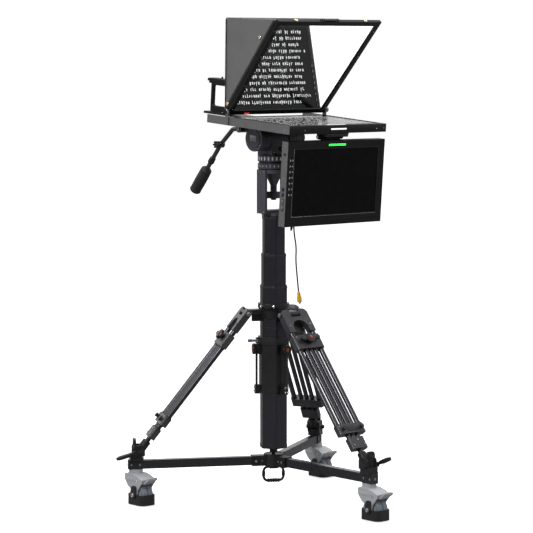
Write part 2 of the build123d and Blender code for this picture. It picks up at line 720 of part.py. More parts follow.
def talent_keys():
    """A strip of push keys."""
    x = -TALENT_W / 2 + 23
    y0 = TALENT_Y[0]
    low = key_height(KEY_COUNT - 1) - 5
    keys = block(x - 4.5, x + 4.5, y0 + 4.6, y0 + 6, low, key_height(0) + 5)
    for i in range(KEY_COUNT):
        keys += rod_y(KEY_R, y0 - 1.4, y0 + 5, x, key_height(i))
    return HEAD * keys


CORD_TOP = (-155.0, -277.5, 984.0)
CORD_LINE = (CORD_TOP, (-154, -277.5, 955), (-145, -280, 905), (-149, -281, 865), (-143, -281, 810))
PLUG_TOP = (-136.0, -281.0, 757.0)
CORD_R = 2.5


def cable():
    """Signal lead hanging from the talent monitor."""
    return bar_along(CORD_LINE + (PLUG_TOP,), CORD_R, 30)


def plug():
    """Barrel plug on the end of the lead."""
    one = post(5.5, -16, 0) + post(7.8, -36, -14) + post(4.2, -42, -34)
    one = one - post(CORD_R, -10, 5)
    return Pos(*PLUG_TOP) * Rot(0, -8, 0) * one


# ---- write every sub-part -----------------------------------------------------------------------
save("dolly_hub", dolly_hub())
arms = None
for azimuth in LEG_AZIMUTH.values():
    placed = around(azimuth) * arm()
    arms = placed if arms is None else arms + placed
save("dolly_arms", arms)
save("carry_handle", carry_handle())
save("foot_cradles", foot_cradles())
save("caster_stems", caster_stems())
LEVER_LIFT = {"left": -16.0, "front": 24.0, "rear": 24.0}
upper = leg_upper()
lower = leg_lower()
for name, azimuth in LEG_AZIMUTH.items():
    save(f"cradle_lever_{name}", cradle_lever(azimuth, LEVER_LIFT[name]))
    save(f"caster_fork_{name}", caster_fork(azimuth))
    save(f"caster_wheel_{name}", caster_wheel(azimuth))
    save(f"cable_guard_{name}", cable_guard(azimuth))
    save(f"brake_pedal_{name}", brake_pedal(azimuth))
    save(f"leg_upper_{name}", place_leg(upper, azimuth))
    save(f"leg_lower_{name}", place_leg(lower, azimuth))

ONCE = (
    column_outer, base_plug, lower_bush, mid_tube, upper_bush, top_tube, tripod_collar,
    guide_sleeve, clamp_lever, sleeve_fittings, riser_frame, half_ball, tie_down_handle,
    pan_base, tilt_housing, base_plate, drag_knob, pan_bar, pan_bar_grip, tray, monitor_case,
    monitor_screen, camera_riser, camera_plate, glass_frame, beamsplitter, hood,
    talent_bracket, talent_case, talent_screen, talent_keys, cable, plug,
)
for maker in ONCE:
    save(maker.__name__, maker())
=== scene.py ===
import math
import random

import bmesh
import bpy
from mathutils import Matrix, Vector

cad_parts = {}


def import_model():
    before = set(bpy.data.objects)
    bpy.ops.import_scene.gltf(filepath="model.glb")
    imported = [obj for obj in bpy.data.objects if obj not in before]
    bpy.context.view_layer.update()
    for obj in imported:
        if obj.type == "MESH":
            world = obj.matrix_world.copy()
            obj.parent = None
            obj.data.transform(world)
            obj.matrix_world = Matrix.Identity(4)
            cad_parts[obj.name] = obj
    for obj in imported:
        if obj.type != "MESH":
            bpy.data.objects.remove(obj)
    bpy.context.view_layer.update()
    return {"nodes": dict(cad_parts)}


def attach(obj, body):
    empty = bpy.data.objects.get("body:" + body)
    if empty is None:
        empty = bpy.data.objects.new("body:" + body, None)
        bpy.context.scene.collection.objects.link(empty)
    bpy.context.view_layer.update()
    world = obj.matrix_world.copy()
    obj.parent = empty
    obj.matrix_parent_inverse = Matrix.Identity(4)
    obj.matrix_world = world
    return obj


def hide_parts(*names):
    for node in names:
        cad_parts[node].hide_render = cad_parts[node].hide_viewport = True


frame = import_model()
NODES = frame["nodes"]
MM = 0.001

# ---- places taken from the CAD, millimetres and degrees -------------------------------------------
LEG_AZIMUTH = {"left": 150.0, "front": -90.0, "rear": 30.0}
CASTER_R = 484.0
TRAIL = 30.0
WHEEL_R = 37.5
HINGE_R, HINGE_Z, LEG_ANGLE = 100.0, 655.0, 38.2
LEVER_AT = (488.0, 181.0)
LEVER_LIFT = {"left": -16.0, "front": 24.0, "rear": 24.0}
TILT_Z, HEAD_TILT = 1257.0, 4.3
TRAY_W, TRAY_Y, TRAY_Z = 440.0, (-325.0, 98.0), (1307.0, 1335.5)
MON_BACK_Y = -6.0
GLASS_HINGE, GLASS_LEAN, GLASS_LEN = (-4.0, 1346.0), 37.1, 416.0
GLASS_W, BAR = (440.0, 470.0), 18.0
HOOD_TOP, HOOD_PEAK, HOOD_BACK = 1668.0, 1680.0, 10.0
TALENT_W, TALENT_Y, TALENT_Z = 440.0, (-323.0, -293.0), (1000.0, 1283.0)
SCREEN, SCREEN_TOP = (380.0, 223.0), 26.0
KEY_PITCH, KEY_COUNT = 19.0, 7
PAN_X = -97.0
HANDLE_LOW = 64.5
PAN_LINE = ((62, 1290), (102, 1288), (168, 1233), (243.57, 1143.7), (311, 1064))

HEAD = (Matrix.Translation((0, 0, TILT_Z)) @ Matrix.Rotation(math.radians(HEAD_TILT), 4, "X")
        @ Matrix.Translation((0, 0, -TILT_Z)))
GLASS = (HEAD @ Matrix.Translation((0, GLASS_HINGE[0], GLASS_HINGE[1]))
         @ Matrix.Rotation(math.radians(GLASS_LEAN), 4, "X"))
WORLD = Matrix.Identity(4)
UP = (0, 0, 1)
OUTER_AF, MID_AF, TOP_AF = 87, 80, 73
SLEEVE_KNOB_Z, LEG_KNOB_Z, CLAMP_Z = 528, -112, 679.5
HINGE_KNOB = (-9.4, 1353.2)
DRUM_R, DRUM_TOP = 41.6, TILT_Z + 43
LEVEL_XY = (-30, -40)
CLOTH, INSET = 2.2, 1.6
WAVE_REPEAT = 0.314  # a wave texture of scale 1 repeats over this many metres


def turns(count, phase=0.0):
    """Angles evenly round a circle, in radians, from a phase in degrees."""
    return [math.radians(360 * i / count + phase) for i in range(count)]


def spot(radius, angle):
    """A point on a circle about the origin."""
    return radius * math.cos(angle), radius * math.sin(angle)


def border(x0, x1, y0, y1, out, into):
    """Four strips along a rectangle's edges, reaching a little out of it and into it."""
    return ((x0 - out, x0 + into, y0 - out, y1 + out), (x1 - into, x1 + out, y0 - out, y1 + out),
            (x0 - out, x1 + out, y0 - out, y0 + into), (x0 - out, x1 + out, y1 - into, y1 + out))


def add_object(name, data):
    """A new object in the scene."""
    obj = bpy.data.objects.new(name, data)
    bpy.context.scene.collection.objects.link(obj)
    return obj


def about(azimuth):
    """Turns something built along +X to an azimuth about the column."""
    return Matrix.Rotation(math.radians(azimuth), 4, "Z")


def facing(at, direction):
    """Stands something built along +Z at a point, pointing in a direction."""
    turn = Vector(direction).normalized().to_track_quat("Z", "Y")
    return Matrix.Translation(at) @ turn.to_matrix().to_4x4()


def leg_frame(azimuth):
    """A leg's own frame: hanging straight down from its hinge."""
    return (about(azimuth) @ Matrix.Translation((HINGE_R, 0, HINGE_Z))
            @ Matrix.Rotation(math.radians(-LEG_ANGLE), 4, "Y"))


def caster_frame(azimuth):
    """A caster's own frame: swivel axis at the origin, trailing to -Y."""
    return Matrix.Translation((*spot(CASTER_R, math.radians(azimuth)), 0))


# ---- camera -----------------------------------------------------------------------------------------
CAMERA_AT = Vector((-5.466, -6.212, 1.568))
CAMERA_LOOK = Vector((0.65565, 0.74958, -0.09085))
camera_data = bpy.data.cameras.new("camera")
camera_data.sensor_width = 36.0
camera_data.lens = 162.1
camera_data.clip_end = 100.0
camera = add_object("camera", camera_data)
camera.location = CAMERA_AT
camera.rotation_euler = CAMERA_LOOK.to_track_quat("-Z", "Y").to_euler()
bpy.context.scene.camera = camera

# ---- materials --------------------------------------------------------------------------------------


def settle(n, **inputs):
    """Sets a shader node's inputs by name."""
    for key, value in inputs.items():
        n.inputs[key.replace("_", " ")].default_value = value
    return n


def node(tree, kind, **inputs):
    """Adds a shader node and sets its inputs by name."""
    return settle(tree.nodes.new(kind), **inputs)


def noise(tree, coord, **inputs):
    """A noise texture's value at a coordinate."""
    n = node(tree, "ShaderNodeTexNoise", **inputs)
    tree.links.new(coord, n.inputs["Vector"])
    return n.outputs["Fac"]


def combine(tree, operation, a, b):
    """A math node over two sockets."""
    n = tree.nodes.new("ShaderNodeMath")
    n.operation = operation
    tree.links.new(a, n.inputs[0])
    tree.links.new(b, n.inputs[1])
    return n.outputs[0]


def ramp(tree, source, low, high, out_low, out_high):
    """Maps a value from one range to another."""
    n = node(tree, "ShaderNodeMapRange", From_Min=low, From_Max=high, To_Min=out_low, To_Max=out_high)
    tree.links.new(source, n.inputs["Value"])
    return n.outputs["Result"]


def mix_colour(tree, factor, a, b):
    """Mixes two colours, each an RGB tuple or a socket."""
    n = tree.nodes.new("ShaderNodeMix")
    n.data_type = "RGBA"
    tree.links.new(factor, n.inputs[0])
    for socket, value in ((n.inputs[6], a), (n.inputs[7], b)):
        if isinstance(value, (tuple, list)):
            socket.default_value = (*value[:3], 1.0)
        else:
            tree.links.new(value, socket)
    return n.outputs[2]


def weave_height(tree, coord, pitch):
    """Height of a plain weave, from crossed bands in all three directions."""
    total = None
    for direction in ("X", "Y", "Z"):
        wave = node(tree, "ShaderNodeTexWave", Scale=WAVE_REPEAT / pitch, Distortion=0.4)
        wave.bands_direction = direction
        tree.links.new(coord, wave.inputs["Vector"])
        total = wave.outputs["Fac"] if total is None else combine(tree, "ADD", total, wave.outputs["Fac"])
    return total


def new_material(name):
    """A material with its node tree and main shader."""
    mat = bpy.data.materials.new(name)
    mat.use_nodes = True
    return mat, mat.node_tree, mat.node_tree.nodes["Principled BSDF"]


def surface(name, colour, rough, metal=0.0, blotch=0.10, grain=900.0, bump=0.12, wear=0.0, weave=0.0,
            specular=0.5, coat=0.0, soften=0.9, sheen=0.0, glow=0.0, brushed=None, uneven=0.07):
    """A finished procedural material: colour drift, uneven gloss, fine relief and worn edges."""
    mat, tree, bsdf = new_material(name)
    coord = tree.nodes.new("ShaderNodeTexCoord").outputs["Object"]
    drift = noise(tree, coord, Scale=14.0, Detail=5.0, Roughness=0.6)
    dark = tuple(c * (1 - blotch) for c in colour)
    light = tuple(min(1.0, c * (1 + blotch)) for c in colour)
    base = mix_colour(tree, ramp(tree, drift, 0.3, 0.7, 0.0, 1.0), dark, light)
    if wear:
        edge = tree.nodes.new("ShaderNodeNewGeometry").outputs["Pointiness"]
        rub = noise(tree, coord, Scale=160.0, Detail=3.0)
        amount = combine(tree, "MULTIPLY", ramp(tree, edge, 0.53, 0.62, 0.0, wear),
                         ramp(tree, rub, 0.4, 0.65, 0.2, 1.0))
        base = mix_colour(tree, amount, base, tuple(min(1.0, c * 1.8 + 0.10) for c in colour))
    tree.links.new(base, bsdf.inputs["Base Color"])
    fine_at = coord
    if brushed is not None:
        stretch = node(tree, "ShaderNodeMapping", Scale=brushed)
        tree.links.new(coord, stretch.inputs["Vector"])
        fine_at = stretch.outputs["Vector"]
    fine = noise(tree, fine_at, Scale=grain, Detail=4.0, Roughness=0.65)
    smear = noise(tree, coord, Scale=45.0, Detail=6.0)
    gloss = ramp(tree, smear, 0.3, 0.7, max(0.02, rough - uneven), min(1.0, rough + uneven))
    tree.links.new(gloss, bsdf.inputs["Roughness"])
    settle(bsdf, Metallic=metal, Specular_IOR_Level=specular, Coat_Weight=coat, Coat_Roughness=0.08,
           Sheen_Weight=sheen)
    if glow:
        settle(bsdf, Emission_Color=(*colour, 1.0), Emission_Strength=glow)
    relief = node(tree, "ShaderNodeBump", Strength=bump, Distance=0.0004)
    tree.links.new(weave_height(tree, coord, weave) if weave else fine, relief.inputs["Height"])
    if soften:
        rounded = node(tree, "ShaderNodeBevel", Radius=soften * MM)
        rounded.samples = 4
        tree.links.new(rounded.outputs["Normal"], relief.inputs["Normal"])
    tree.links.new(relief.outputs["Normal"], bsdf.inputs["Normal"])
    return mat


def glass_material():
    """Part-silvered glass: mostly mirror, a little see-through."""
    mat, tree, bsdf = new_material("beamsplitter_glass")
    settle(bsdf, Base_Color=(0.97, 0.98, 0.985, 1.0), Metallic=1.0, Roughness=0.0)
    smear = noise(tree, tree.nodes.new("ShaderNodeTexCoord").outputs["Object"], Scale=6.0, Detail=6.0)
    tree.links.new(ramp(tree, smear, 0.3, 0.7, 0.92, 0.94), bsdf.inputs["Alpha"])
    return mat


MATS = {
    "column": surface("anodised_black", (0.062, 0.059, 0.074), 0.30, 0.85, grain=200, bump=0.006, blotch=0.06,
                      brushed=(1.0, 1.0, 0.03), uneven=0.03),
    "cast_black": surface("cast_black", (0.013, 0.013, 0.015), 0.42, 0.1, grain=260, bump=0.14, wear=0.2),
    "arm": surface("satin_charcoal", (0.060, 0.060, 0.068), 0.30, 0.8, grain=240, bump=0.02, blotch=0.06),
    "leg_tube": surface("leg_anodised", (0.075, 0.075, 0.083), 0.29, 0.9, grain=40, bump=0.0,
                        blotch=0.05, soften=0, uneven=0.015),
    "casting": surface("casting_grey", (0.058, 0.058, 0.064), 0.40, 0.4, grain=260, bump=0.12, wear=0.25),
    "caster": surface("caster_grey", (0.50, 0.51, 0.535), 0.42, grain=300, bump=0.06, blotch=0.05),
    "tread": surface("tread_grey", (0.24, 0.275, 0.325), 0.5, grain=250, bump=0.15),
    "guard": surface("guard_black", (0.020, 0.020, 0.023), 0.5, grain=260, bump=0.14),
    "plastic": surface("moulded_black", (0.010, 0.010, 0.011), 0.42, grain=260, bump=0.12),
    "chrome": surface("chrome", (0.78, 0.78, 0.79), 0.13, 1.0, blotch=0.03, bump=0.03),
    "steel": surface("steel", (0.42, 0.42, 0.43), 0.3, 1.0, blotch=0.08, bump=0.06),
    "head": surface("head_grey", (0.078, 0.072, 0.092), 0.40, 0.2, grain=260, bump=0.08, wear=0.15),
    "bar": surface("gloss_black", (0.05, 0.05, 0.055), 0.15, 0.8, grain=200, bump=0.0, coat=0.8),
    "grip": surface("grip_rubber", (0.020, 0.020, 0.023), 0.62, grain=260, bump=0.22),
    "tray": surface("tray_grey", (0.165, 0.165, 0.168), 0.42, 0.4, grain=300, bump=0.06, wear=0.15),
    "case": surface("case_black", (0.0055, 0.0055, 0.006), 0.38, grain=300, bump=0.08, specular=0.28),
    "screen": surface("screen_black", (0.003, 0.003, 0.0035), 0.16, grain=60, bump=0.01, specular=0.25,
                      soften=0),
    "talent_screen": surface("talent_screen", (0.0025, 0.0025, 0.0026), 0.34, grain=60, bump=0.01,
                             specular=0.12, soften=0),
    "hood": surface("hood_cloth", (0.150, 0.150, 0.155), 0.7, grain=700, bump=0.22, weave=0.0014,
                    blotch=0.06, soften=0, sheen=0.15),
    "hood_black": surface("hood_binding", (0.010, 0.010, 0.011), 0.34, weave=0.0012, bump=0.25, soften=0),
    "brass": surface("brass", (0.86, 0.70, 0.48), 0.25, 0.8, blotch=0.08, bump=0.05),
    "cord": surface("cord_black", (0.012, 0.012, 0.013), 0.36, grain=300, bump=0.05, soften=0),
    "yellow": surface("plug_yellow", (0.80, 0.47, 0.03), 0.36, grain=300, bump=0.05),
    "orange": surface("orange_cap", (0.50, 0.07, 0.015), 0.4, grain=300, bump=0.05),
    "white": surface("white_print", (0.62, 0.62, 0.62), 0.5, blotch=0.03, bump=0.02),
    "light_bar": surface("light_bar", (0.9, 0.9, 0.9), 0.3, blotch=0.02, bump=0.01, glow=0.9),
    "green": surface("tally_green", (0.02, 0.85, 0.05), 0.3, blotch=0.02, bump=0.01, glow=2.2),
    "red": surface("standby_red", (0.80, 0.05, 0.03), 0.3, blotch=0.02, bump=0.01, glow=0.7),
    "prompt": surface("prompt_white", (0.9, 0.9, 0.9), 0.5, blotch=0.05, bump=0.01, glow=0.9, soften=0),
    "label": surface("label_plate", (0.30, 0.29, 0.34), 0.3, 0.6, bump=0.05),
    "fascia": surface("fascia_black", (0.010, 0.010, 0.011), 0.36, grain=300, bump=0.05, specular=0.3),
    "glass": glass_material(),
}


def narrow_view(mat):
    """Makes a glowing print readable only from above the panel, as a flat display is."""
    tree = mat.node_tree
    bsdf = tree.nodes["Principled BSDF"]
    facing = node(tree, "ShaderNodeLayerWeight", Blend=0.5).outputs["Facing"]
    tree.links.new(ramp(tree, facing, 0.55, 0.9, 1.3, 0.04), bsdf.inputs["Emission Strength"])
    bsdf.inputs["Base Color"].default_value = (0.02, 0.02, 0.02, 1.0)
    for link in list(tree.links):
        if link.to_socket == bsdf.inputs["Base Color"]:
            tree.links.remove(link)


narrow_view(MATS["prompt"])

LEGS = tuple(LEG_AZIMUTH)
NODE_LOOK = {
    "dolly_hub": "cast_black", "dolly_arms": "arm", "carry_handle": "plastic", "foot_cradles": "cast_black",
    "caster_stems": "caster", "column_outer": "column", "base_plug": "plastic", "lower_bush": "plastic",
    "mid_tube": "column", "upper_bush": "plastic", "top_tube": "column", "tripod_collar": "cast_black",
    "guide_sleeve": "cast_black", "clamp_lever": "steel", "sleeve_fittings": "cast_black",
    "riser_frame": "head", "half_ball": "head", "tie_down_handle": "head", "pan_base": "head",
    "tilt_housing": "head", "base_plate": "cast_black", "drag_knob": "plastic", "pan_bar": "bar",
    "pan_bar_grip": "grip", "tray": "tray", "monitor_case": "case", "monitor_screen": "screen",
    "camera_riser": "case", "camera_plate": "case", "glass_frame": "case", "beamsplitter": "glass",
    "hood": "hood", "talent_bracket": "case", "talent_case": "case", "talent_screen": "talent_screen",
    "talent_keys": "plastic", "cable": "cord", "plug": "yellow",
}
for leg in LEGS:
    NODE_LOOK[f"cradle_lever_{leg}"] = "plastic"
    NODE_LOOK[f"caster_fork_{leg}"] = "caster"
    NODE_LOOK[f"caster_wheel_{leg}"] = "tread"
    NODE_LOOK[f"cable_guard_{leg}"] = "guard"
    NODE_LOOK[f"brake_pedal_{leg}"] = "caster"
    NODE_LOOK[f"leg_upper_{leg}"] = "leg_tube"
    NODE_LOOK[f"leg_lower_{leg}"] = "leg_tube"
for name, look in NODE_LOOK.items():
    mesh = NODES[name].data
    mesh.materials.clear()
    mesh.materials.append(MATS[look])


def paint_faces(name, look, chosen):
    """Gives some of a CAD node's faces a second material, chosen by their centre in mm."""
    mesh = NODES[name].data
    index = len(mesh.materials)
    mesh.materials.append(MATS[look])
    for polygon in mesh.polygons:
        if chosen(polygon.center / MM, polygon.normal):
            polygon.material_index = index


# ---- mesh building ----------------------------------------------------------------------------------


class Shape:
    """Collects primitives, in millimetres in a local frame, into one piece."""

    def __init__(self, place=WORLD):
        self.bm = bmesh.new()
        self.place = place

    def _put(self, verts, matrix):
        bmesh.ops.transform(self.bm, matrix=self.place @ matrix, verts=verts)

    def box(self, x0, x1, y0, y1, z0, z1, bevel=0.0, matrix=WORLD):
        """A block, its edges rounded."""
        made = bmesh.ops.create_cube(self.bm, size=1.0)["verts"]
        size = Matrix.Diagonal((abs(x1 - x0), abs(y1 - y0), abs(z1 - z0), 1.0))
        place = Matrix.Translation(((x0 + x1) / 2, (y0 + y1) / 2, (z0 + z1) / 2))
        bmesh.ops.transform(self.bm, matrix=place @ size, verts=made)
        if bevel:
            edges = list({e for v in made for e in v.link_edges})
            out = bmesh.ops.bevel(self.bm, geom=edges, offset=bevel, segments=3, profile=0.5, affect="EDGES")
            made = list({v for f in out["faces"] for v in f.verts} | {v for v in made if v.is_valid})
        self._put(made, matrix)
        return self

    def lathe(self, profile, start, direction, segments=40, close=True):
        """A body of revolution: profile is (distance along, radius) pairs from start."""
        rings = []
        for along, radius in profile:
            rings.append([self.bm.verts.new((*spot(radius, 2 * math.pi * i / segments), along))
                          for i in range(segments)])
        for lower, upper in zip(rings, rings[1:]):
            for i in range(segments):
                j = (i + 1) % segments
                self.bm.faces.new((lower[i], lower[j], upper[j], upper[i]))
        if close:
            self.bm.faces.new(tuple(reversed(rings[0])))
            self.bm.faces.new(tuple(rings[-1]))
        self._put([v for ring in rings for v in ring], facing(start, direction))
        return self

    def bolt(self, at, direction, r=3.2, height=2.6):
        """A socket-head screw."""
        profile = ((0, r), (height - 0.5, r), (height, r - 0.5), (height, r * 0.55), (height * 0.35, r * 0.5))
        return self.lathe(profile, at, direction, 24)

    def ring(self, radius, section, at, direction, segments=64, sides=12):
        """A torus."""
        grid = []
        for i in range(segments):
            a = 2 * math.pi * i / segments
            row = []
            for j in range(sides):
                b = 2 * math.pi * j / sides
                rr = radius + section * math.cos(b)
                row.append(self.bm.verts.new((*spot(rr, a), section * math.sin(b))))
            grid.append(row)
        for i in range(segments):
            for j in range(sides):
                k, m = (i + 1) % segments, (j + 1) % sides
                self.bm.faces.new((grid[i][j], grid[k][j], grid[k][m], grid[i][m]))
        self._put([v for row in grid for v in row], facing(at, direction))
        return self

    def sheet(self, rows, thickness):
        """A closed thin sheet from a grid of points, thickened along its normals."""
        count, width = len(rows), len(rows[0])
        grid = [[Vector(p) for p in row] for row in rows]
        front, back = [], []
        for i in range(count):
            front_row, back_row = [], []
            for j in range(width):
                du = grid[i][min(j + 1, width - 1)] - grid[i][max(j - 1, 0)]
                dv = grid[min(i + 1, count - 1)][j] - grid[max(i - 1, 0)][j]
                n = du.cross(dv)
                n = n.normalized() if n.length > 1e-9 else Vector(UP)
                front_row.append(self.bm.verts.new(grid[i][j] + n * thickness / 2))
                back_row.append(self.bm.verts.new(grid[i][j] - n * thickness / 2))
            front.append(front_row)
            back.append(back_row)
        for i in range(count - 1):
            for j in range(width - 1):
                self.bm.faces.new((front[i][j], front[i][j + 1], front[i + 1][j + 1], front[i + 1][j]))
                self.bm.faces.new((back[i][j], back[i + 1][j], back[i + 1][j + 1], back[i][j + 1]))
        rim = [(i, 0) for i in range(count)] + [(count - 1, j) for j in range(1, width)]
        rim += [(i, width - 1) for i in range(count - 2, -1, -1)] + [(0, j) for j in range(width - 2, 0, -1)]
        for (a, b), (c, d) in zip(rim, rim[1:] + rim[:1]):
            self.bm.faces.new((front[a][b], front[c][d], back[c][d], back[a][b]))
        self._put([v for row in front + back for v in row], WORLD)
        return self

    def mesh(self, name):
        """Turns the shape into a mesh, in metres."""
        bmesh.ops.scale(self.bm, vec=(MM, MM, MM), verts=self.bm.verts)
        mesh = bpy.data.meshes.new(name)
        self.bm.to_mesh(mesh)
        self.bm.free()
        return mesh

    def done(self, name, look, body, slot, smooth=35.0):
        """Makes the object with its material and body."""
        bmesh.ops.recalc_face_normals(self.bm, faces=self.bm.faces)
        mesh = self.mesh(name)
        obj = add_object(name, mesh)
        mesh.materials.append(MATS[look])
        mesh.shade_smooth()
        if smooth < 180:
            mesh.set_sharp_from_angle(angle=math.radians(smooth))
        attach(obj, body)
        return obj


# ---- the lead: the same route as the CAD's ----------------------------------------------------------
CORD_POINTS = ((-155, -277.5, 984), (-154, -277.5, 955), (-145, -280, 905), (-149, -281, 865),
               (-143, -281, 810), (-136, -281, 757))
PLUG_TOP = Vector(CORD_POINTS[-1])
PLUG_LEAN = 8.0


def cord_curve():
    """The lead as a NURBS tube."""
    data = bpy.data.curves.new("cable_line", "CURVE")
    data.dimensions = "3D"
    data.bevel_depth = 2.5 * MM
    data.bevel_resolution = 5
    data.resolution_u = 12
    data.use_fill_caps = True
    spline = data.splines.new("NURBS")
    spline.points.add(len(CORD_POINTS) - 1)
    for point, at in zip(spline.points, CORD_POINTS):
        point.co = (*[c * MM for c in at], 1.0)
    spline.order_u = 3
    spline.use_endpoint_u = True
    obj = add_object("signal_lead", data)
    data.materials.append(MATS["cord"])
    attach(obj, "talent_monitor")
    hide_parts("cable")
    return obj


def plug_piece():
    """Moulded barrel with a ribbed tail and a metal tip."""
    place = Matrix.Translation(PLUG_TOP) @ Matrix.Rotation(math.radians(-PLUG_LEAN), 4, "Y")
    body = Shape(place)
    profile = [(0, 3.2), (-2, 4.6), (-14, 5.6), (-15, 7.4), (-17, 7.9), (-34, 7.9), (-36, 7.2), (-36, 4.4)]
    body.lathe(profile, (0, 0, 0), UP, 36)
    for i in range(3):
        body.ring(5.4 + 0.3 * i, 0.6, (0, 0, -5 - 3 * i), UP, 36, 8)
    obj = body.done("lead_plug", "yellow", "talent_monitor", "plug_yellow")
    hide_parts("plug")
    tip = Shape(place)
    tip.lathe([(-35.5, 4.2), (-41, 4.2), (-41.6, 3.6), (-41.6, 2.0), (-38, 1.8)], (0, 0, 0), UP, 28)
    tip_obj = tip.done("lead_plug_tip", "chrome", "talent_monitor", "steel")
    return obj, tip_obj


lead = cord_curve()
plug, plug_tip = plug_piece()
relief = Shape(HEAD)
relief.lathe([(0, 5.5), (3, 5.5), (9, 4.6), (24, 3.1), (25, 2.6)], (-155, -289, 1006), (0, 0.12, -1), 28)
for i in range(4):
    relief.ring(4.9 - 0.35 * i, 0.5, (-155, -288.4 + 0.4 * i, 1000 - 4.0 * i), (0, 0.12, -1), 28, 8)
relief.done("lead_strain_relief", "cord", "talent_monitor", "cord_black")

# ---- hood -------------------------------------------------------------------------------------------


def lerp(a, b, t):
    return a + (b - a) * t


def hood_corner(v, side):
    """x of the hood's side at height fraction v."""
    return side * lerp(GLASS_W[0] / 2, GLASS_W[1] / 2, v)


HOOD_LOW = GLASS_HINGE[1] + 9
HOOD_RISE = HOOD_PEAK - HOOD_LOW
BACK_RISE = HOOD_TOP - HOOD_LOW
LEAN = math.tan(math.radians(GLASS_LEAN))
FRONT_LOW = GLASS_HINGE[0] + 2.0
SAG = 5.0


def front_y(v):
    """Where the hood's front edge lies, just behind the glass."""
    return FRONT_LOW - v * HOOD_RISE * LEAN


def wrinkle(u, v, seed):
    """Slight soft folds in the cloth, in millimetres."""
    return (0.9 * math.sin(9.0 * u + 5.0 * v + seed) * math.sin(math.pi * u)
            + 0.5 * math.sin(21.0 * v - 6.0 * u + 2.0 * seed) * math.sin(math.pi * v))


def hood_sheet(name, rows, columns, point, thickness=CLOTH, look="hood"):
    """A piece of the hood, from a function of two fractions that gives a point in the head's frame."""
    grid = [[HEAD @ Vector(point(i / rows, j / columns)) for j in range(columns + 1)]
            for i in range(rows + 1)]
    return Shape().sheet(grid, thickness).done(name, look, "glass_unit", "hood_fabric", 60)


def hood_side(side, name):
    """One side: a stiffened cloth panel, drawn in a little between its edges."""
    def point(v, u):
        pull = SAG * math.sin(math.pi * u) * math.sin(math.pi * min(1.0, v * 1.02))
        x = hood_corner(v, side) - side * (INSET + pull * (0.4 + 0.6 * v) + wrinkle(u, v, 1.3 * side) * v)
        return x, lerp(front_y(v), HOOD_BACK - 3, u), HOOD_LOW + v * (lerp(HOOD_RISE, BACK_RISE, u) - 2.0)

    obj = hood_sheet(name, 28, 22, point)
    return obj


def hood_top():
    """Top: slack between the glass's top bar and the back edge."""
    def point(u, w):
        x = lerp(hood_corner(1, -1) + INSET, hood_corner(1, 1) - INSET, w)
        z = lerp(HOOD_PEAK, HOOD_TOP, u) - 1.8 - SAG * math.sin(math.pi * u) * math.sin(math.pi * w)
        return x, lerp(front_y(1), HOOD_BACK - 3, u), z - 0.6 * wrinkle(u, w, 4.1)

    obj = hood_sheet("hood_top", 24, 30, point)
    return obj


LENS_Z = 1500.0
LENS_R = 95.0


def hood_back():
    """Back: cloth round a circular opening for the lens."""
    low, high, half = HOOD_LOW, HOOD_TOP - 2, 226.0

    def point(t, turn):
        a = 2 * math.pi * turn
        dx, dz = spot(1.0, a)
        reach = half / abs(dx) if dx else 1e9
        if dz:
            reach = min(reach, ((high if dz > 0 else low) - LENS_Z) / dz)
        ez = LENS_Z + dz * reach
        limit = hood_corner((ez - low) / (high - low), 1) - INSET
        ex = max(-limit, min(limit, dx * reach))
        bow = math.sin(math.pi * t)
        y = HOOD_BACK - 1.8 - 2.5 * bow + 0.5 * math.sin(7 * a) * bow
        return lerp(LENS_R * dx, ex, t), y, lerp(LENS_Z + LENS_R * dz, ez, t)

    obj = hood_sheet("hood_back", 12, 72, point)
    return obj


def hood_sleeve():
    """Gathered collar round the lens opening, closed by a drawstring."""
    def point(t, turn):
        a = 2 * math.pi * turn
        x, rise = spot(LENS_R + 4 - 16 * t ** 1.5 + 1.4 * math.sin(30 * a) * t, a)
        return x, HOOD_BACK - 2 + 10 * math.sin(math.pi * 0.5 * t), LENS_Z + rise

    obj = hood_sheet("hood_lens_sleeve", 8, 144, point, 1.4, "hood_black")
    return obj


hood_parts = [hood_side(-1, "hood_side_left"), hood_side(1, "hood_side_right"), hood_top(), hood_back(),
              hood_sleeve()]
for part in hood_parts:
    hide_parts("hood")


def binding(name, start, end, outward, width=17.0, proud=1.6):
    """A folded binding along a straight hood edge, rounded over."""
    start, end, outward = Vector(start), Vector(end), Vector(outward).normalized()
    across = (end - start).normalized().cross(outward).normalized()

    def point(t, s):
        bulge = proud * math.sin(math.pi * s) ** 0.6 + 0.15 * math.sin(60 * t)
        return start.lerp(end, t) + across * (s - 0.5) * width + outward * bulge

    return hood_sheet(name, 24, 12, point, 1.2, "hood_black")


for side, label in ((-1, "left"), (1, "right")):
    foot = Vector((hood_corner(0, side) + side * 0.4, front_y(0) + 6, HOOD_LOW + 3))
    top = Vector((hood_corner(1, side) + side * 0.4, front_y(1) + 7, HOOD_PEAK - 4))
    binding(f"hood_binding_{label}", foot, top, (side, 0, 0), 13)
    back_foot = Vector((hood_corner(0, side) + side * 0.2, HOOD_BACK - 5, HOOD_LOW + 2))
    back_top = Vector((hood_corner(1, side) + side * 0.2, HOOD_BACK - 5, HOOD_TOP - 4))
    binding(f"hood_back_edge_{label}", back_foot, back_top, (side, 0.5, 0), 7, 1.0)
binding("hood_top_edge", (hood_corner(1, -1) + 3, HOOD_BACK - 5, HOOD_TOP - 0.6),
        (hood_corner(1, 1) - 3, HOOD_BACK - 5, HOOD_TOP - 0.6), (0, 0.4, 1), 7, 1.0)


def snap(shape, at, direction):
    """A press stud."""
    shape.lathe([(0, 6.4), (1.2, 6.4), (2.0, 5.6), (2.3, 4.2), (1.7, 3.0), (1.9, 0.4)], at, direction, 28)


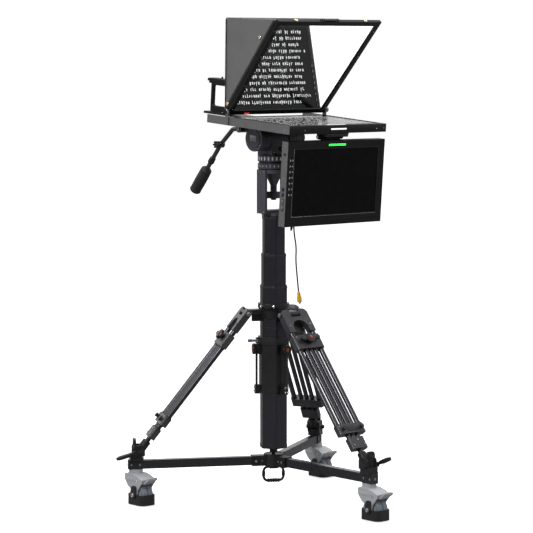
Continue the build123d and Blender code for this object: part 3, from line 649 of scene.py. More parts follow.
studs = Shape(HEAD)
for side in (-1, 1):
    for v, inset in ((0.075, 10), (0.80, 26)):
        snap(studs, (hood_corner(v, side) + side * 0.6, front_y(v) + inset + 4, HOOD_LOW + v * HOOD_RISE),
             (side, 0, 0))
studs.done("hood_studs", "brass", "glass_unit", "brass")
top_studs = Shape(GLASS)
for x in (-150, 165):
    snap(top_studs, (x, 2.0, GLASS_LEN - 1.0), UP)
top_studs.done("hood_top_studs", "brass", "glass_unit", "brass")

clasp = Shape(GLASS)
clasp.box(-42, 42, -2, 8, GLASS_LEN - 0.5, GLASS_LEN + 3, 1.2)
clasp.box(-26, 26, -5, 5, GLASS_LEN + 1, GLASS_LEN + 5.5, 1.6)
for x in (-34, 34):
    clasp.bolt((x, 4, GLASS_LEN + 2.8), UP, 2.6, 1.6)
clasp.done("hood_clasp", "plastic", "glass_unit", "plastic_black")

cheek = Shape(GLASS)
for side in (-1, 1):
    for z in (24, 130, 260, 372):
        x = side * (GLASS_W[0] / 2 + (GLASS_W[1] - GLASS_W[0]) / 2 * z / GLASS_LEN - BAR / 2)
        cheek.bolt((x, -6, z), (0, -1, 0), 2.4, 1.2)
cheek.done("glass_frame_screws", "steel", "glass_unit", "steel")

# ---- prompter monitor and tray ----------------------------------------------------------------------
TOP = TRAY_Z[1]
HALF = TRAY_W / 2


ROWS, ROW_PITCH = 12, 22.4
LETTER_PITCH, LETTER_TALL, STROKE = 9.6, 8.6, 1.7
SIDE_KEYS, SIDE_KEY_PITCH = 8, 20


def prompt_lines():
    """Rows of small crossed bars in word-length groups, which stand in for a script on the screen."""
    rng = random.Random(7)
    shape = Shape(HEAD)
    z0, z1 = TOP - 0.5, TOP - 0.35
    for row in range(ROWS):
        y = TRAY_Y[0] + 30 + ROW_PITCH * row
        x = -HALF + 32
        end = HALF - 40 - rng.uniform(0, 34)
        while x < end:
            for _ in range(rng.choice((2, 3, 4, 4, 5, 6, 7, 9))):
                if x > end:
                    break
                stem = rng.choice((LETTER_TALL, LETTER_TALL, LETTER_TALL, 12.0))
                low = rng.choice((0, 0, 0, 0, -3.0))
                wide = rng.uniform(4.4, 6.2)
                shape.box(x, x + STROKE, y + low, y + stem, z0, z1)
                cross = y + rng.choice((0, 3, 6.2))
                shape.box(x, x + wide, cross, cross + 1.4, z0, z1)
                if rng.random() < 0.45:
                    shape.box(x + wide - STROKE, x + wide, y, y + LETTER_TALL, z0, z1)
                x += LETTER_PITCH
            x += LETTER_PITCH
    return shape.done("prompt_rows", "prompt", "tilt_body", "screen_black")


prompt_lines()
bezel = Shape(HEAD)
window = (-HALF + 17, HALF - 17, TRAY_Y[0] + 16, MON_BACK_Y - 16)
for x0, x1, y0, y1 in border(*window, 1.5, 1.0):
    bezel.box(x0, x1, y0, y1, TOP - 1.0, TOP + 0.7, 0.4)
bezel.done("prompter_bezel_lip", "fascia", "tilt_body", "case_black")

(Shape(HEAD).box(-48, 36, TRAY_Y[0] + 5, TRAY_Y[0] + 11, TOP - 0.4, TOP + 0.5, 0.3)
 .done("prompter_top_light", "light_bar", "tilt_body", "case_black"))
keys = Shape(HEAD)
for i in range(SIDE_KEYS):
    y = MON_BACK_Y - 26 - SIDE_KEY_PITCH * i
    keys.lathe([(0, 3.0), (0.9, 3.0), (1.4, 2.4)], (HALF - 10, y, TOP), UP, 20)
keys.done("prompter_keys", "plastic", "tilt_body", "plastic_black")
icons = Shape(HEAD)
for i in range(SIDE_KEYS):
    y = MON_BACK_Y - 29 - SIDE_KEY_PITCH * i
    icons.box(HALF - 15.8, HALF - 13.8, y, y + 7, TOP - 0.2, TOP + 0.15)
icons.done("prompter_key_ticks", "white", "tilt_body", "case_black")

front = Shape(HEAD)
front.box(-HALF + 0.5, HALF - 0.5, TRAY_Y[0] - 1.4, TRAY_Y[0] + 2, TRAY_Z[0] + 0.4, TOP - 0.2, 0.8)
front.done("tray_front_fascia", "fascia", "tilt_body", "case_black")
(Shape(HEAD).box(-35, 35, TRAY_Y[0] - 1.9, TRAY_Y[0] - 0.5, TOP - 16, TOP - 11, 0.5)
 .done("tray_front_light", "light_bar", "tilt_body", "case_black"))
screws = Shape(HEAD)
for x in (-HALF + 68, HALF - 12, HALF - 44):
    screws.bolt((x, TRAY_Y[0] - 1.2, TRAY_Z[0] + 13), (0, -1, 0), 2.2, 1.0)
for side in (-1, 1):
    for y in (-300, -190, -60, 60, 84):
        screws.bolt((side * HALF, y, TRAY_Z[0] + 10), (side, 0, 0), 2.6, 1.1)
screws.done("tray_screws", "steel", "tilt_body", "steel")
(Shape(GLASS).box(-150, -128, -8.4, -5.6, 3.0, 8.0, 1.0)
 .done("standby_light", "red", "glass_unit", "plastic_black"))
knobs = Shape(HEAD)
for side in (-1, 1):
    knobs.lathe([(0, 9.0), (1.5, 9.6), (3, 9.0), (4, 5.0)], (side * (HALF + 6), *HINGE_KNOB),
                (side, 0, 0), 32)
    knobs.ring(9.1, 0.7, (side * (HALF + 10.5), *HINGE_KNOB), (side, 0, 0), 40, 8)
knobs.done("glass_hinge_knob_rims", "chrome", "glass_unit", "steel")
rear = Shape(HEAD)
for side in (-1, 1):
    rear.box(side * 214, side * 150, 90, 97.6, TRAY_Z[0] + 5, TRAY_Z[0] + 14, 1.2)
    for y in (40, 70):
        rear.bolt((side * 180, y, TRAY_Z[0] + 5), UP, 4.0, 3.0)
        rear.bolt((side * 36, y, TRAY_Z[0] + 5), UP, 3.4, 2.6)
rear.done("tray_rear_fittings", "steel", "tilt_body", "steel")
vents = Shape(HEAD)
for i in range(14):
    vents.box(-180 + 12 * i, -174 + 12 * i, -120, -60, TRAY_Z[0] + 0.2, TRAY_Z[0] + 1.4, 0.4)
vents.done("prompter_underside_ribs", "plastic", "tilt_body", "plastic_black")

# ---- camera riser -----------------------------------------------------------------------------------
PLATE_TOP = TRAY_Z[0] + 13 + 107 + 9
pad = Shape(HEAD)
pad.box(-18, 18, 241, 281, PLATE_TOP - 0.3, PLATE_TOP + 1.6, 0.7)
pad.box(-18, 18, 295, 341, PLATE_TOP - 0.3, PLATE_TOP + 1.6, 0.7)
pad.done("camera_plate_pads", "grip", "camera_plate", "grip_rubber")
lock = Shape(HEAD)
lock.lathe([(0, 4), (6, 4), (6, 9), (8, 10), (15, 10), (17, 9)], (12.5, 270, PLATE_TOP - 12), (1, 0, 0), 32)
lock.bolt((0, 252, PLATE_TOP - 1.0), UP, 3.0, 1.4)
lock.done("camera_plate_lock", "plastic", "camera_plate", "plastic_black")
riser = Shape(HEAD)
for x in (-18, 18):
    for y in (258, 322):
        riser.bolt((x, y, TRAY_Z[0] + 13), UP, 3.2, 2.2)
    for y in (60, 90):
        riser.bolt((x, y, TRAY_Z[0] + 13), UP, 3.4, 2.4)
riser.done("riser_screws", "steel", "tilt_body", "steel")

# ---- talent monitor ---------------------------------------------------------------------------------
T0, T1 = TALENT_Y
HT = TALENT_W / 2
SW = SCREEN[0] / 2
S_TOP = TALENT_Z[1] - SCREEN_TOP
S_LOW = S_TOP - SCREEN[1]
lip = Shape(HEAD)
for x0, x1, z0, z1 in border(-SW, SW, S_LOW, S_TOP, 1.6, 0.8):
    lip.box(x0, x1, T0 - 0.7, T0 + 1.4, z0, z1, 0.4)
lip.done("talent_bezel_lip", "fascia", "talent_monitor", "case_black")
glint = Shape(HEAD)
glint.box(-SW - 2.6, -SW - 1.4, T0 - 0.6, T0 + 1.0, S_LOW - 2.6, S_TOP + 1.6, 0.3)
glint.box(-SW - 2.6, SW + 2.6, T0 - 0.6, T0 + 1.0, S_LOW - 2.6, S_LOW - 1.4, 0.3)
glint.done("talent_bezel_glint", "steel", "talent_monitor", "steel")
(Shape(HEAD).box(-38, 38, T0 - 1.3, T0 + 1, TALENT_Z[1] - 17, TALENT_Z[1] - 11.5, 2.0)
 .done("talent_tally_light", "green", "talent_monitor", "case_black"))
ticks = Shape(HEAD)
for i in range(KEY_COUNT):
    z = TALENT_Z[1] - 62 - KEY_PITCH * i
    ticks.box(-HT + 11.5, -HT + 14.5, T0 - 0.25, T0 + 0.6, z - 3.4, z + 3.4)
    ticks.box(-HT + 12.5, -HT + 16.5, T0 - 0.25, T0 + 0.6, z - 0.8, z + 0.8)
ticks.done("talent_key_ticks", "white", "talent_monitor", "case_black")
caps = Shape(HEAD)
for i in range(KEY_COUNT):
    z = TALENT_Z[1] - 62 - KEY_PITCH * i
    caps.lathe([(0, 2.0), (0.5, 2.0), (0.8, 1.4)], (-HT + 23, T0 - 1.3, z), (0, -1, 0), 20)
caps.done("talent_key_caps", "white", "talent_keys", "plastic_black")
paint_faces("talent_case", "tray", lambda c, n: abs(n.x) > 0.8 and abs(c.x) > HT - 1)
ports = Shape(HEAD)
for z, size in ((1062, 9), (1084, 9), (1106, 6), (1124, 6), (1240, 4)):
    ports.box(-HT - 0.8, -HT + 1, T0 + 9, T1 - 9, z - size, z + size, 0.8)
ports.done("talent_side_ports", "plastic", "talent_monitor", "plastic_black")
plates = Shape(HEAD)
for z, size in ((1062, 6.5), (1084, 6.5)):
    plates.box(-HT - 1.3, -HT, T0 + 11.5, T1 - 11.5, z - size, z + size, 0.6)
for side in (-1, 1):
    for z in (1030, 1160, 1265):
        plates.bolt((side * HT, T0 + 15, z), (side, 0, 0), 2.2, 0.9)
plates.done("talent_side_plates", "steel", "talent_monitor", "steel")
grille = Shape(HEAD)
for i in range(22):
    x = -126 + 12 * i
    grille.box(x, x + 5, T1 - 0.4, T1 + 1.2, 1180, 1226, 0.5)
grille.box(-50, 50, T1 - 0.5, T1 + 2.4, 1090, 1170, 1.4)
grille.done("talent_back_grille", "plastic", "talent_monitor", "plastic_black")
vesa = Shape(HEAD)
for x in (-37.5, 37.5):
    for z in (1100, 1160):
        vesa.bolt((x, T1 + 2.2, z), (0, 1, 0), 3.4, 1.8)
for x in (-170, -140):
    vesa.lathe([(0, 5.5), (7, 5.5), (8, 4.6), (8, 2.6), (4, 2.4)], (x, T1 + 8, 1022), (0, 0.1, -1), 28)
for x in (-28, 28):
    vesa.bolt((x, T1 + 12.8, 1250), (0, 1, 0), 3.2, 1.8)
vesa.done("talent_back_screws", "steel", "talent_monitor", "steel")
hanger = Shape(HEAD)
hanger.box(-50, 50, -321, -306, TRAY_Z[0] - 13, TRAY_Z[0] - 1, 2.0)
for x in (-34, 34):
    hanger.bolt((x, -320.8, TRAY_Z[0] - 6.5), (0, -1, 0), 3.0, 1.2)
hanger.done("talent_hanger_front", "plastic", "tilt_body", "plastic_black")
nuts = Shape(HEAD)
for side in (-1, 1):
    nuts.lathe([(0, 7), (5, 7), (6, 6)], (side * 52, -284, 1292), (side, 0, 0), 6)
nuts.done("talent_hinge_nuts", "steel", "tilt_body", "steel")

# ---- fluid head -------------------------------------------------------------------------------------
rings = Shape()
for z, count, phase, wide, tall in ((1188.5, 24, 0.0, 2.6, 6.0), (1162.5, 24, 6.4, 1.1, 3.2)):
    for a in turns(count, phase):
        place = Matrix.Rotation(a, 4, "Z")
        rings.box(54.2, 55.5, -wide, wide, z - tall, z + tall, 0.3, place)
rings.done("head_ring_marks", "white", "pan_body", "head_grey")
seams = Shape()
for z in (1152, 1175, 1201):
    seams.ring(50.0, 1.8, (0, 0, z), UP)
seams.done("head_ring_seams", "cast_black", "pan_body", "cast_black")
collars = Shape(HEAD)
for x in (-66, -46, 52, 70, 98):
    collars.ring(DRUM_R, 1.3, (x, 0, TILT_Z), (1, 0, 0))
collars.done("drum_ribs", "cast_black", "tilt_body", "cast_black")
(Shape(HEAD).lathe([(0, 33), (1.4, 33), (2.2, 31.5), (2.0, 28)], (-90, 0, TILT_Z), (-1, 0, 0), 48)
 .done("drum_end_cap", "head", "tilt_body", "head_grey"))
(Shape(HEAD).box(-94, -91, -17, 17, TILT_Z - 9, TILT_Z + 13, 1.4)
 .done("drum_end_plate", "label", "tilt_body", "head_grey"))
cap_bolts = Shape(HEAD)
for a in turns(6, 30):
    for x, radius, out, proud in ((-90, 38.5, -1, 1.6), (104, 36.5, 1, 1.8)):
        y, z = spot(radius, a)
        cap_bolts.bolt((x, y, TILT_Z + z), (out, 0, 0), 2.6, proud)
for x, y in ((-60, -36), (-60, 30), (80, -36), (80, 36)):
    cap_bolts.bolt((x, y, DRUM_TOP), UP, 3.0, 1.8)
cap_bolts.done("head_bolts", "steel", "tilt_body", "steel")
drag = Shape(HEAD)
drag.lathe([(0, 13), (2, 15.4), (12, 15.4), (14, 13.5), (15.5, 9)], (120, 0, TILT_Z), (1, 0, 0), 40)
for a in turns(18):
    place = (Matrix.Translation((0, 0, TILT_Z)) @ Matrix.Rotation(a, 4, "X")
             @ Matrix.Translation((0, 0, -TILT_Z)))
    drag.box(122, 132, -1.2, 1.2, TILT_Z + 14.2, TILT_Z + 16.6, 0.5, place)
drag_obj = drag.done("drag_knob_grip", "plastic", "drag_knob", "plastic_black")
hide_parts("drag_knob")
levers = Shape()
levers.lathe([(0, 6), (7, 6), (8, 5)], (38, 14, 1222), (1, 0, 0), 28)
levers.box(44, 50, 8, 20, 1196, 1228, 2.4)
levers.lathe([(0, 7), (5, 7), (6, 6)], (0, -38, 1222), (0, -1, 0), 28)
levers.done("head_lock_levers", "plastic", "pan_body", "plastic_black")
(Shape().lathe([(0, 10), (4, 10), (5, 9), (5, 7.6), (4, 7.4)], (*LEVEL_XY, 1204), UP, 32)
 .done("head_level_housing", "plastic", "pan_body", "plastic_black"))
vial = Shape()
vial.lathe([(0, 7.2), (1.2, 7.0), (2.4, 5.0), (2.9, 2.0), (3.0, 0.3)], (*LEVEL_XY, 1208), UP, 32)
vial.done("head_level_vial", "green", "pan_body", "plug_yellow").data.materials[0] = surface(
    "level_fluid", (0.30, 0.55, 0.06), 0.08, blotch=0.05, bump=0.01)

# ---- pan bar ----------------------------------------------------------------------------------------
joint = Shape()
joint.lathe([(0, 9.6), (2, 10.8), (9, 10.8), (11, 8.8)], (PAN_X - 12, *PAN_LINE[2]), (-1, 0, 0), 36)
for a in turns(6):
    y, z = spot(10, a)
    joint.lathe([(0, 3.2), (11, 3.2), (12, 2.4)], (PAN_X - 13.5, PAN_LINE[2][0] + y, PAN_LINE[2][1] + z),
                (-1, 0, 0), 16)
joint.done("pan_bar_knob", "plastic", "pan_bar", "plastic_black")
joint_bolts = Shape()
joint_bolts.bolt((PAN_X + 10, *PAN_LINE[2]), (1, 0, 0), 6.0, 3.0)
joint_bolts.bolt((PAN_X - 9, *PAN_LINE[0]), (-1, 0, 0), 6.5, 3.0)
joint_bolts.done("pan_bar_bolts", "steel", "pan_bar", "steel")
collar = Shape()
down = (Vector((0, *PAN_LINE[4])) - Vector((0, *PAN_LINE[2]))).normalized()
at = Vector((PAN_X, *PAN_LINE[2])) + down * 62
collar.lathe([(0, 8.2), (1, 10.6), (12, 11.4), (22, 11.4), (24, 9.8), (24, 8.2)], at, down, 36)
collar.done("pan_bar_collar", "plastic", "pan_bar", "plastic_black")


def grip():
    """Moulded grip: a swelling body with close ribs and a domed end."""
    start = Vector((PAN_X, *PAN_LINE[3])) - down * 6
    length = (Vector((0, *PAN_LINE[4])) - Vector((0, *PAN_LINE[3]))).length + 5
    profile = [(0, 8.4), (0.5, 13.0), (5, 14.5), (6, 18.5)]
    ribs = 9
    for i in range(ribs):
        t = 8 + (length - 22) * i / ribs
        step = (length - 22) / ribs
        swell = 19.8 + 1.1 * math.sin(math.pi * i / ribs)
        profile += [(t, swell - 1.8), (t + step * 0.12, swell), (t + step * 0.72, swell),
                    (t + step * 0.84, swell - 1.8)]
    profile += [(length - 12, 20.4), (length - 5, 20.6), (length - 1.5, 18.0), (length, 12.0),
                (length + 0.6, 0.5)]
    moulding = Shape().lathe(profile, start, down, 44)
    obj = moulding.done("pan_bar_grip_moulding", "grip", "pan_bar", "grip_rubber", 40)
    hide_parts("pan_bar_grip")


grip()

# ---- riser, column and collar -----------------------------------------------------------------------
frame_bolts = Shape()
for side in (-1, 1):
    for y in (-14, 14):
        frame_bolts.bolt((side * 57, y, 1005), (side, 0, 0), 2.8, 1.4)
        frame_bolts.bolt((side * 57, y, 1143.5), (side, 0, 0), 2.8, 1.0)
for a in turns(6, 30):
    frame_bolts.bolt((*spot(36.4, a), 985), (*spot(1, a), 0), 2.4, 1.0)
frame_bolts.done("riser_frame_bolts", "steel", "top_stage", "steel")
grips = Shape(about(-40))
for x in (-30, 30):
    for a in turns(10):
        dx, dy = spot(11.4, a)
        grips.lathe([(0, 1.2), (12, 1.6), (13, 1.0)], (x + dx, dy, 1055.5), UP, 12)
grips.lathe([(0, 9), (4, 9), (5, 7.8)], (0, 0, 1044), UP, 6)
grips.done("tie_down_grip_ribs", "plastic", "tie_down", "plastic_black")


def hex_band(shape, af, z0, z1, proud):
    """A thin hexagonal trim band round a column tube."""
    corner = 7.0
    points = []
    for i in range(6):
        a0 = math.radians(60 * i)
        slant = math.cos(math.radians(30))
        reach = (af / 2 + proud) / slant - corner * (1 / slant - 1)
        centre = Vector(spot(reach - corner, a0))
        for k in range(5):
            points.append(centre + Vector(spot(corner, a0 + math.radians(-30 + 15 * k))))
    inner = [p * ((af / 2 - 0.4) / (af / 2 + proud)) for p in points]
    loops = []
    for ring_points, z in ((inner, z0), (points, z0 + 0.4), (points, z1 - 0.4), (inner, z1)):
        loops.append([shape.bm.verts.new((p.x, p.y, z)) for p in ring_points])
    n = len(points)
    for lower, upper in zip(loops, loops[1:] + loops[:1]):
        for i in range(n):
            j = (i + 1) % n
            shape.bm.faces.new((lower[i], lower[j], upper[j], upper[i]))


for name, body, af, spans in (
        ("column_outer_bands", "pedestal", OUTER_AF, ((739, 746, 0.8), (184, 196, 0.8), (600, 606, 0.5))),
        ("column_mid_band", "mid_stage", MID_AF, ((849, 856, 0.7),)),
        ("column_top_band", "top_stage", TOP_AF, ((978, 990, 1.4),))):
    bands = Shape()
    for z0, z1, proud in spans:
        hex_band(bands, af, z0, z1, proud)
    bands.done(name, "cast_black", body, "cast_black")
collar_trim = Shape()
collar_trim.ring(53.9, 1.3, (0, 0, 685.6), UP, 72)
collar_trim.ring(53.9, 1.3, (0, 0, 672.4), UP, 72)
for a in turns(18, 8):
    collar_trim.bolt((*spot(51.2, a), 644), (*spot(1, a), 0), 2.0, 1.0)
collar_trim.done("collar_trim", "cast_black", "pedestal", "cast_black")
shine = Shape(about(-150))
shine.bolt((60, 20, CLAMP_Z), (0, 1, 0), 6.2, 4.5)
shine.lathe([(0, 6.6), (4, 6.6), (5, 5.6)], (60, -22, CLAMP_Z), (0, -1, 0), 6)
shine.done("collar_clamp_screw", "chrome", "pedestal", "steel")

for leg, azimuth in LEG_AZIMUTH.items():
    place = about(azimuth)
    knob = Shape(place)
    knob.lathe([(0, 17.2), (1.5, 18.0), (8, 18.0), (10, 16.6), (10.6, 9.0), (9.6, 8.0)],
               (64.5, 0, SLEEVE_KNOB_Z), (1, 0, 0), 44)
    for a in turns(12):
        y, z = spot(17.6, a)
        knob.lathe([(0, 1.6), (7.5, 1.6), (8.2, 1.0)], (65.5, y, SLEEVE_KNOB_Z + z), (1, 0, 0), 10)
    knob.done(f"sleeve_knob_rim_{leg}", "plastic", "pedestal", "plastic_black")
    dot = Shape(place)
    dot.lathe([(0, 6.6), (1.6, 6.6), (2.4, 5.6), (2.6, 2.6)], (73.2, 0, SLEEVE_KNOB_Z), (1, 0, 0), 36)
    dot.done(f"sleeve_knob_cap_{leg}", "orange", "pedestal", "plug_yellow")
    screws = Shape(place)
    for y in (-5.5, 5.5):
        for z in (380, 395):
            screws.bolt((66, y, z), (1, 0, 0), 3.9, 3.6)
    screws.bolt((64, 0, 540), (1, 0, 0), 2.4, 1.4)
    screws.done(f"sleeve_bracket_screws_{leg}", "chrome", "pedestal", "steel")

# ---- legs -------------------------------------------------------------------------------------------


def paint_leg(leg, azimuth):
    """Castings in charcoal and the foot in black; the tubes keep their anodised finish."""
    back = leg_frame(azimuth).inverted()

    def along(c):
        return -(back @ Vector(c)).z

    paint_faces(f"leg_upper_{leg}", "casting", lambda c, n: along(c) < 77.5 or 447.5 < along(c) < 484.5)
    paint_faces(f"leg_lower_{leg}", "casting", lambda c, n: along(c) < 145.5 or 499.5 < along(c) < 543.5)
    paint_faces(f"leg_lower_{leg}", "plastic", lambda c, n: along(c) > 543.5)


def leg_trim(leg, azimuth):
    """Knob, caps, screws and tube collars of one leg."""
    place = leg_frame(azimuth)
    body = f"leg_{leg}"
    knob = Shape(place)
    knob.lathe([(0, 16), (2, 18.2), (9, 18.2), (12, 16), (12.6, 10.8)], (19, 0, LEG_KNOB_Z), (1, 0, 0), 40)
    for side in (-1, 1):
        knob.box(21, 30, side * 14, side * 36, LEG_KNOB_Z - 6, LEG_KNOB_Z + 6, 3.2)
        knob.lathe([(0, 6.4), (1, 7.2), (9, 7.2), (10, 6.2)], (20.5, side * 35, LEG_KNOB_Z), (1, 0, 0), 28)
    knob.done(f"leg_knob_{leg}", "plastic", body, "plastic_black")
    dot = Shape(place)
    dot.lathe([(0, 6.4), (1.6, 6.4), (2.4, 5.4), (2.6, 2.6)], (31, 0, LEG_KNOB_Z), (1, 0, 0), 36)
    dot.done(f"leg_knob_cap_{leg}", "orange", body, "plug_yellow")
    hardware = Shape(place)
    for side in (-1, 1):
        hardware.lathe([(0, 7.4), (2.5, 7.4), (3.5, 6.4), (3.5, 4.2), (1.8, 4.0)],
                       (0, side * 60.5, 0), (0, side, 0), 6)
        for x, y, z, r in ((11, 46, -50, 3.2), (14, 48, -100, 3.0), (13, 52, -455, 3.0), (13, 24, -530, 3.2)):
            hardware.bolt((x, side * y, z), (1, 0, 0), r, 1.8)
    hardware.bolt((13, 0, -512), (1, 0, 0), 3.6, 2.2)
    hardware.done(f"leg_hardware_{leg}", "steel", body, "steel")
    ribs = Shape(place)
    for ys, zs, r0, r1, segments in (((-48.0, 48.0), (-150, -448), 9.2, 10.6, 32),
                                     ((-21.0, 0.0, 21.0), (-500, -489, -151), 8.1, 9.4, 28)):
        for y in ys:
            for z in zs:
                ribs.lathe([(0, r0), (0.5, r1), (4, r1), (4.5, r0)], (0, y, z), UP, segments, close=False)
    for side in (-1, 1):
        ribs.lathe([(0, 7.2), (1.5, 7.9), (4, 7.9), (5, 6.6)], (20, side * 40, -466), (1, 0, 0), 28)
    ribs.box(-12.4, -10.8, -30, 30, -66, -8, 0.5)
    ribs.box(13, 14.4, -22, 22, -476, -456, 0.6)
    ribs.done(f"leg_tube_collars_{leg}", "plastic", body, "plastic_black")
    foot = Shape(place)
    for z in (-583, -576, -569, -562):
        foot.ring(15.0, 1.0, (0, 0, z), UP, 40, 8)
    for y in (-15.5, -8, 8, 15.5):
        foot.ring(12.0, 0.8, (0, y, -595), (0, 1, 0), 36, 8)
    foot.done(f"leg_foot_rings_{leg}", "grip", body, "grip_rubber")


# ---- casters and cradles ----------------------------------------------------------------------------


def caster_trim(leg, azimuth):
    """Tread ridges, hub caps, axle covers, brake pad and raceway of one caster."""
    place = caster_frame(azimuth)
    axle = (-TRAIL, WHEEL_R)
    hub = Shape(place)
    for side in (-1, 1):
        hub.lathe([(0, 23.4), (0.8, 22.8), (1.4, 17), (0.6, 13), (1.2, 11.5), (2.0, 10.0), (2.2, 5.0)],
                  (side * 19.8, *axle), (side, 0, 0), 40)
    hub.done(f"wheel_hub_caps_{leg}", "caster", f"wheel_{leg}", "caster_grey")
    tread = Shape(place)
    for x in (-18.0, -13.0, -8.0, 8.0, 13.0, 18.0):
        tread.ring(WHEEL_R - 0.55, 0.6, (x, *axle), (1, 0, 0), 72, 8)
    tread.done(f"wheel_tread_ridges_{leg}", "tread", f"wheel_{leg}", "tread_grey")
    cover = Shape(place)
    for side in (-1, 1):
        cover.lathe([(0, 10.4), (1.4, 10.4), (2.2, 9.6), (2.0, 7.0)], (side * 36, *axle), (side, 0, 0), 36)
        for i in range(3):
            cover.box(side * 36.2, side * 37.2, -TRAIL - 7, -TRAIL + 7, 53 + 5 * i, 55 + 5 * i, 0.4)
    cover.done(f"axle_cover_{leg}", "guard", f"caster_{leg}", "guard_black")
    bolt = Shape(place)
    for side in (-1, 1):
        bolt.bolt((side * 39.6, *axle), (side, 0, 0), 6.3, 2.6)
        bolt.bolt((side * 29.6, -44, 86), (side, 0, 0), 4.2, 2.4)
    bolt.done(f"axle_bolt_{leg}", "chrome", f"caster_{leg}", "steel")
    race = Shape(place)
    race.lathe([(0, 25.4), (1, 26.6), (2.6, 26.6), (3.6, 25.4)], (0, 0, 106.0), UP, 48, close=False)
    for side in (-1, 1):
        race.box(side * 29.6, side * 31.0, -36, 14, 84, 96, 0.7)
        race.box(side * 29.6, side * 30.8, -38, -22, 58, 76, 0.6)
    race.done(f"fork_ribs_{leg}", "caster", f"caster_{leg}", "caster_grey")
    pedal = Shape(place)
    for i in range(4):
        y, z = -93.0 + 4.5 * i, 98.6 - 2.2 * max(0, i - 1)
        pedal.box(-17, 17, y, y + 2.0, z, z + 2.2, 0.7)
    for side in (-1, 1):
        pedal.box(side * 16, side * 21, -70, -46, 83, 87, 1.4)
    pedal.done(f"brake_pedal_ribs_{leg}", "caster", f"brake_{leg}", "caster_grey")


def cradle_trim(leg, azimuth):
    """Screws and ribs on one cradle, and the pads on its lever."""
    place = about(azimuth)
    trim = Shape(place)
    for side in (-1, 1):
        for x in (472, 502):
            trim.bolt((x, side * 15, 137), (0, side, 0), 3.4, 2.0)
        trim.bolt((464, side * 22.5, 165), (0, side, 0), 2.8, 1.6)
    trim.bolt((511, 0, 137), (1, 0, 0), 4.2, 2.0)
    trim.done(f"cradle_screws_{leg}", "steel", "dolly", "steel")
    cheeks = Shape(place)
    for side in (-1, 1):
        cheeks.box(461, 503, side * 22.0, side * 23.4, 153, 157, 0.6)
        cheeks.box(458, 478, side * 22.2, side * 23.4, 178, 190, 0.6)
    cheeks.box(492.4, 494.0, -10, 10, 182, 216, 0.8)
    cheeks.done(f"cradle_cheek_ribs_{leg}", "cast_black", "dolly", "cast_black")
    lever_place = (place @ Matrix.Translation((LEVER_AT[0], 0, LEVER_AT[1]))
                   @ Matrix.Rotation(math.radians(-LEVER_LIFT[leg]), 4, "Y"))
    pad = Shape(lever_place)
    pad.box(20, 66, 20, 42, -6.5, 6.5, 4.5)
    for i in range(4):
        pad.box(30 + 8 * i, 33 + 8 * i, 23, 39, -7.4, 7.4, 1.2)
    pad.done(f"cradle_lever_pad_{leg}", "plastic", f"cradle_lever_{leg}", "plastic_black")


for leg, azimuth in LEG_AZIMUTH.items():
    paint_leg(leg, azimuth)
    leg_trim(leg, azimuth)
    caster_trim(leg, azimuth)
    cradle_trim(leg, azimuth)
    hubs = Shape(about(azimuth))
    for side in (-1, 1):
        hubs.bolt((66, side * 20.5, 137), (0, side, 0), 4.6, 2.4)
        hubs.bolt((44, side * 17.5, 137), (0, side, 0), 2.8, 1.6)
    hubs.done(f"hub_screws_{leg}", "steel", "dolly", "steel")

sleeve = Shape(about(-30))
profile = [(-22, 4.8)]
for x in (-18, -9, 0, 9, 18):
    profile += [(x - 3.6, 5.4), (x - 2, 6.8), (x + 2, 6.8), (x + 3.6, 5.4)]
sleeve.lathe(profile + [(22, 4.8)], (0, 0, HANDLE_LOW), (1, 0, 0), 28, close=False)
for side in (-1, 1):
    sleeve.lathe([(15, 4.8), (16, 6.0), (32, 6.0), (33, 4.8)], (side * 35, 0, HANDLE_LOW), UP, 28,
                 close=False)
sleeve.done("carry_handle_grip", "plastic", "carry_handle", "plastic_black")
hub_knob = Shape()
for a in turns(14):
    hub_knob.lathe([(0, 1.4), (10, 1.4), (11, 0.8)], (*spot(12.8, a), 164.6), UP, 10)
hub_knob.ring(33, 1.8, (0, 0, 158), UP, 64)
hub_knob.done("hub_knob_ribs", "plastic", "dolly", "plastic_black")

# ---- floor and light --------------------------------------------------------------------------------


def seen_sharply(tree):
    """1 where a surface is seen directly or in the glass, 0 where it only lights other things."""
    path = tree.nodes.new("ShaderNodeLightPath")
    return combine(tree, "MAXIMUM", path.outputs["Is Camera Ray"], path.outputs["Is Singular Ray"])


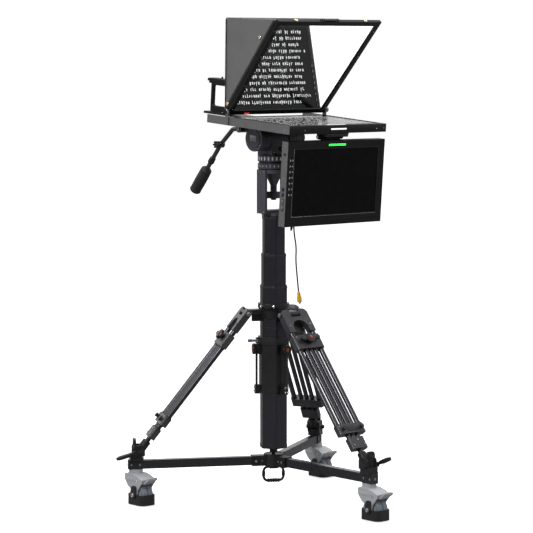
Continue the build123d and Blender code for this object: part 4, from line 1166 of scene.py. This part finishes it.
def floor():
    """A plain pale floor."""
    mesh = Shape().lathe([(-10, 30000), (0, 30000)], (0, 0, -0.1), UP, 96).mesh("floor")
    obj = add_object("floor", mesh)
    mat, tree, bsdf = new_material("floor_white")
    settle(bsdf, Roughness=0.9, Specular_IOR_Level=0.0, Emission_Color=(1, 1, 1, 1))
    seen = seen_sharply(tree)
    tree.links.new(mix_colour(tree, seen, (0.22, 0.22, 0.22), (0.80, 0.80, 0.80)), bsdf.inputs["Base Color"])
    tree.links.new(ramp(tree, seen, 0.0, 1.0, 0.02, 0.62), bsdf.inputs["Emission Strength"])
    mesh.materials.append(mat)


def world():
    """A white studio: bright behind and above the object, dimmer in front of it."""
    w = bpy.data.worlds.new("studio")
    bpy.context.scene.world = w
    w.use_nodes = True
    tree = w.node_tree
    background = tree.nodes["Background"]
    coord = tree.nodes.new("ShaderNodeTexCoord").outputs["Generated"]
    dot = tree.nodes.new("ShaderNodeVectorMath")
    dot.operation = "DOT_PRODUCT"
    dot.inputs[1].default_value = (0.62, 0.62, 0.48)
    tree.links.new(coord, dot.inputs[0])
    level = ramp(tree, dot.outputs["Value"], -0.6, 0.7, 0.05, 1.0)
    pick = tree.nodes.new("ShaderNodeMix")
    tree.links.new(seen_sharply(tree), pick.inputs[0])
    tree.links.new(level, pick.inputs[2])
    pick.inputs[3].default_value = 1.0
    tree.links.new(pick.outputs[0], background.inputs["Strength"])
    background.inputs["Color"].default_value = (1, 1, 1, 1)


def area(name, at, target, size, power):
    """A soft box."""
    data = bpy.data.lights.new(name, "AREA")
    data.shape = "SQUARE"
    data.size = size
    data.energy = power
    obj = add_object(name, data)
    obj.location = at
    obj.rotation_euler = (Vector(target) - Vector(at)).to_track_quat("-Z", "Y").to_euler()


floor()
world()
area("key", (-4.2, -0.8, 3.6), (0, 0, 0.9), 1.3, 110)
area("fill", (1.5, -4.6, 2.6), (0, 0, 0.9), 1.4, 26)
area("top", (0.3, 0.3, 4.8), (0, 0, 0.5), 3.0, 110)
scene = bpy.context.scene
scene.view_settings.view_transform = "Standard"
scene.view_settings.look = "None"
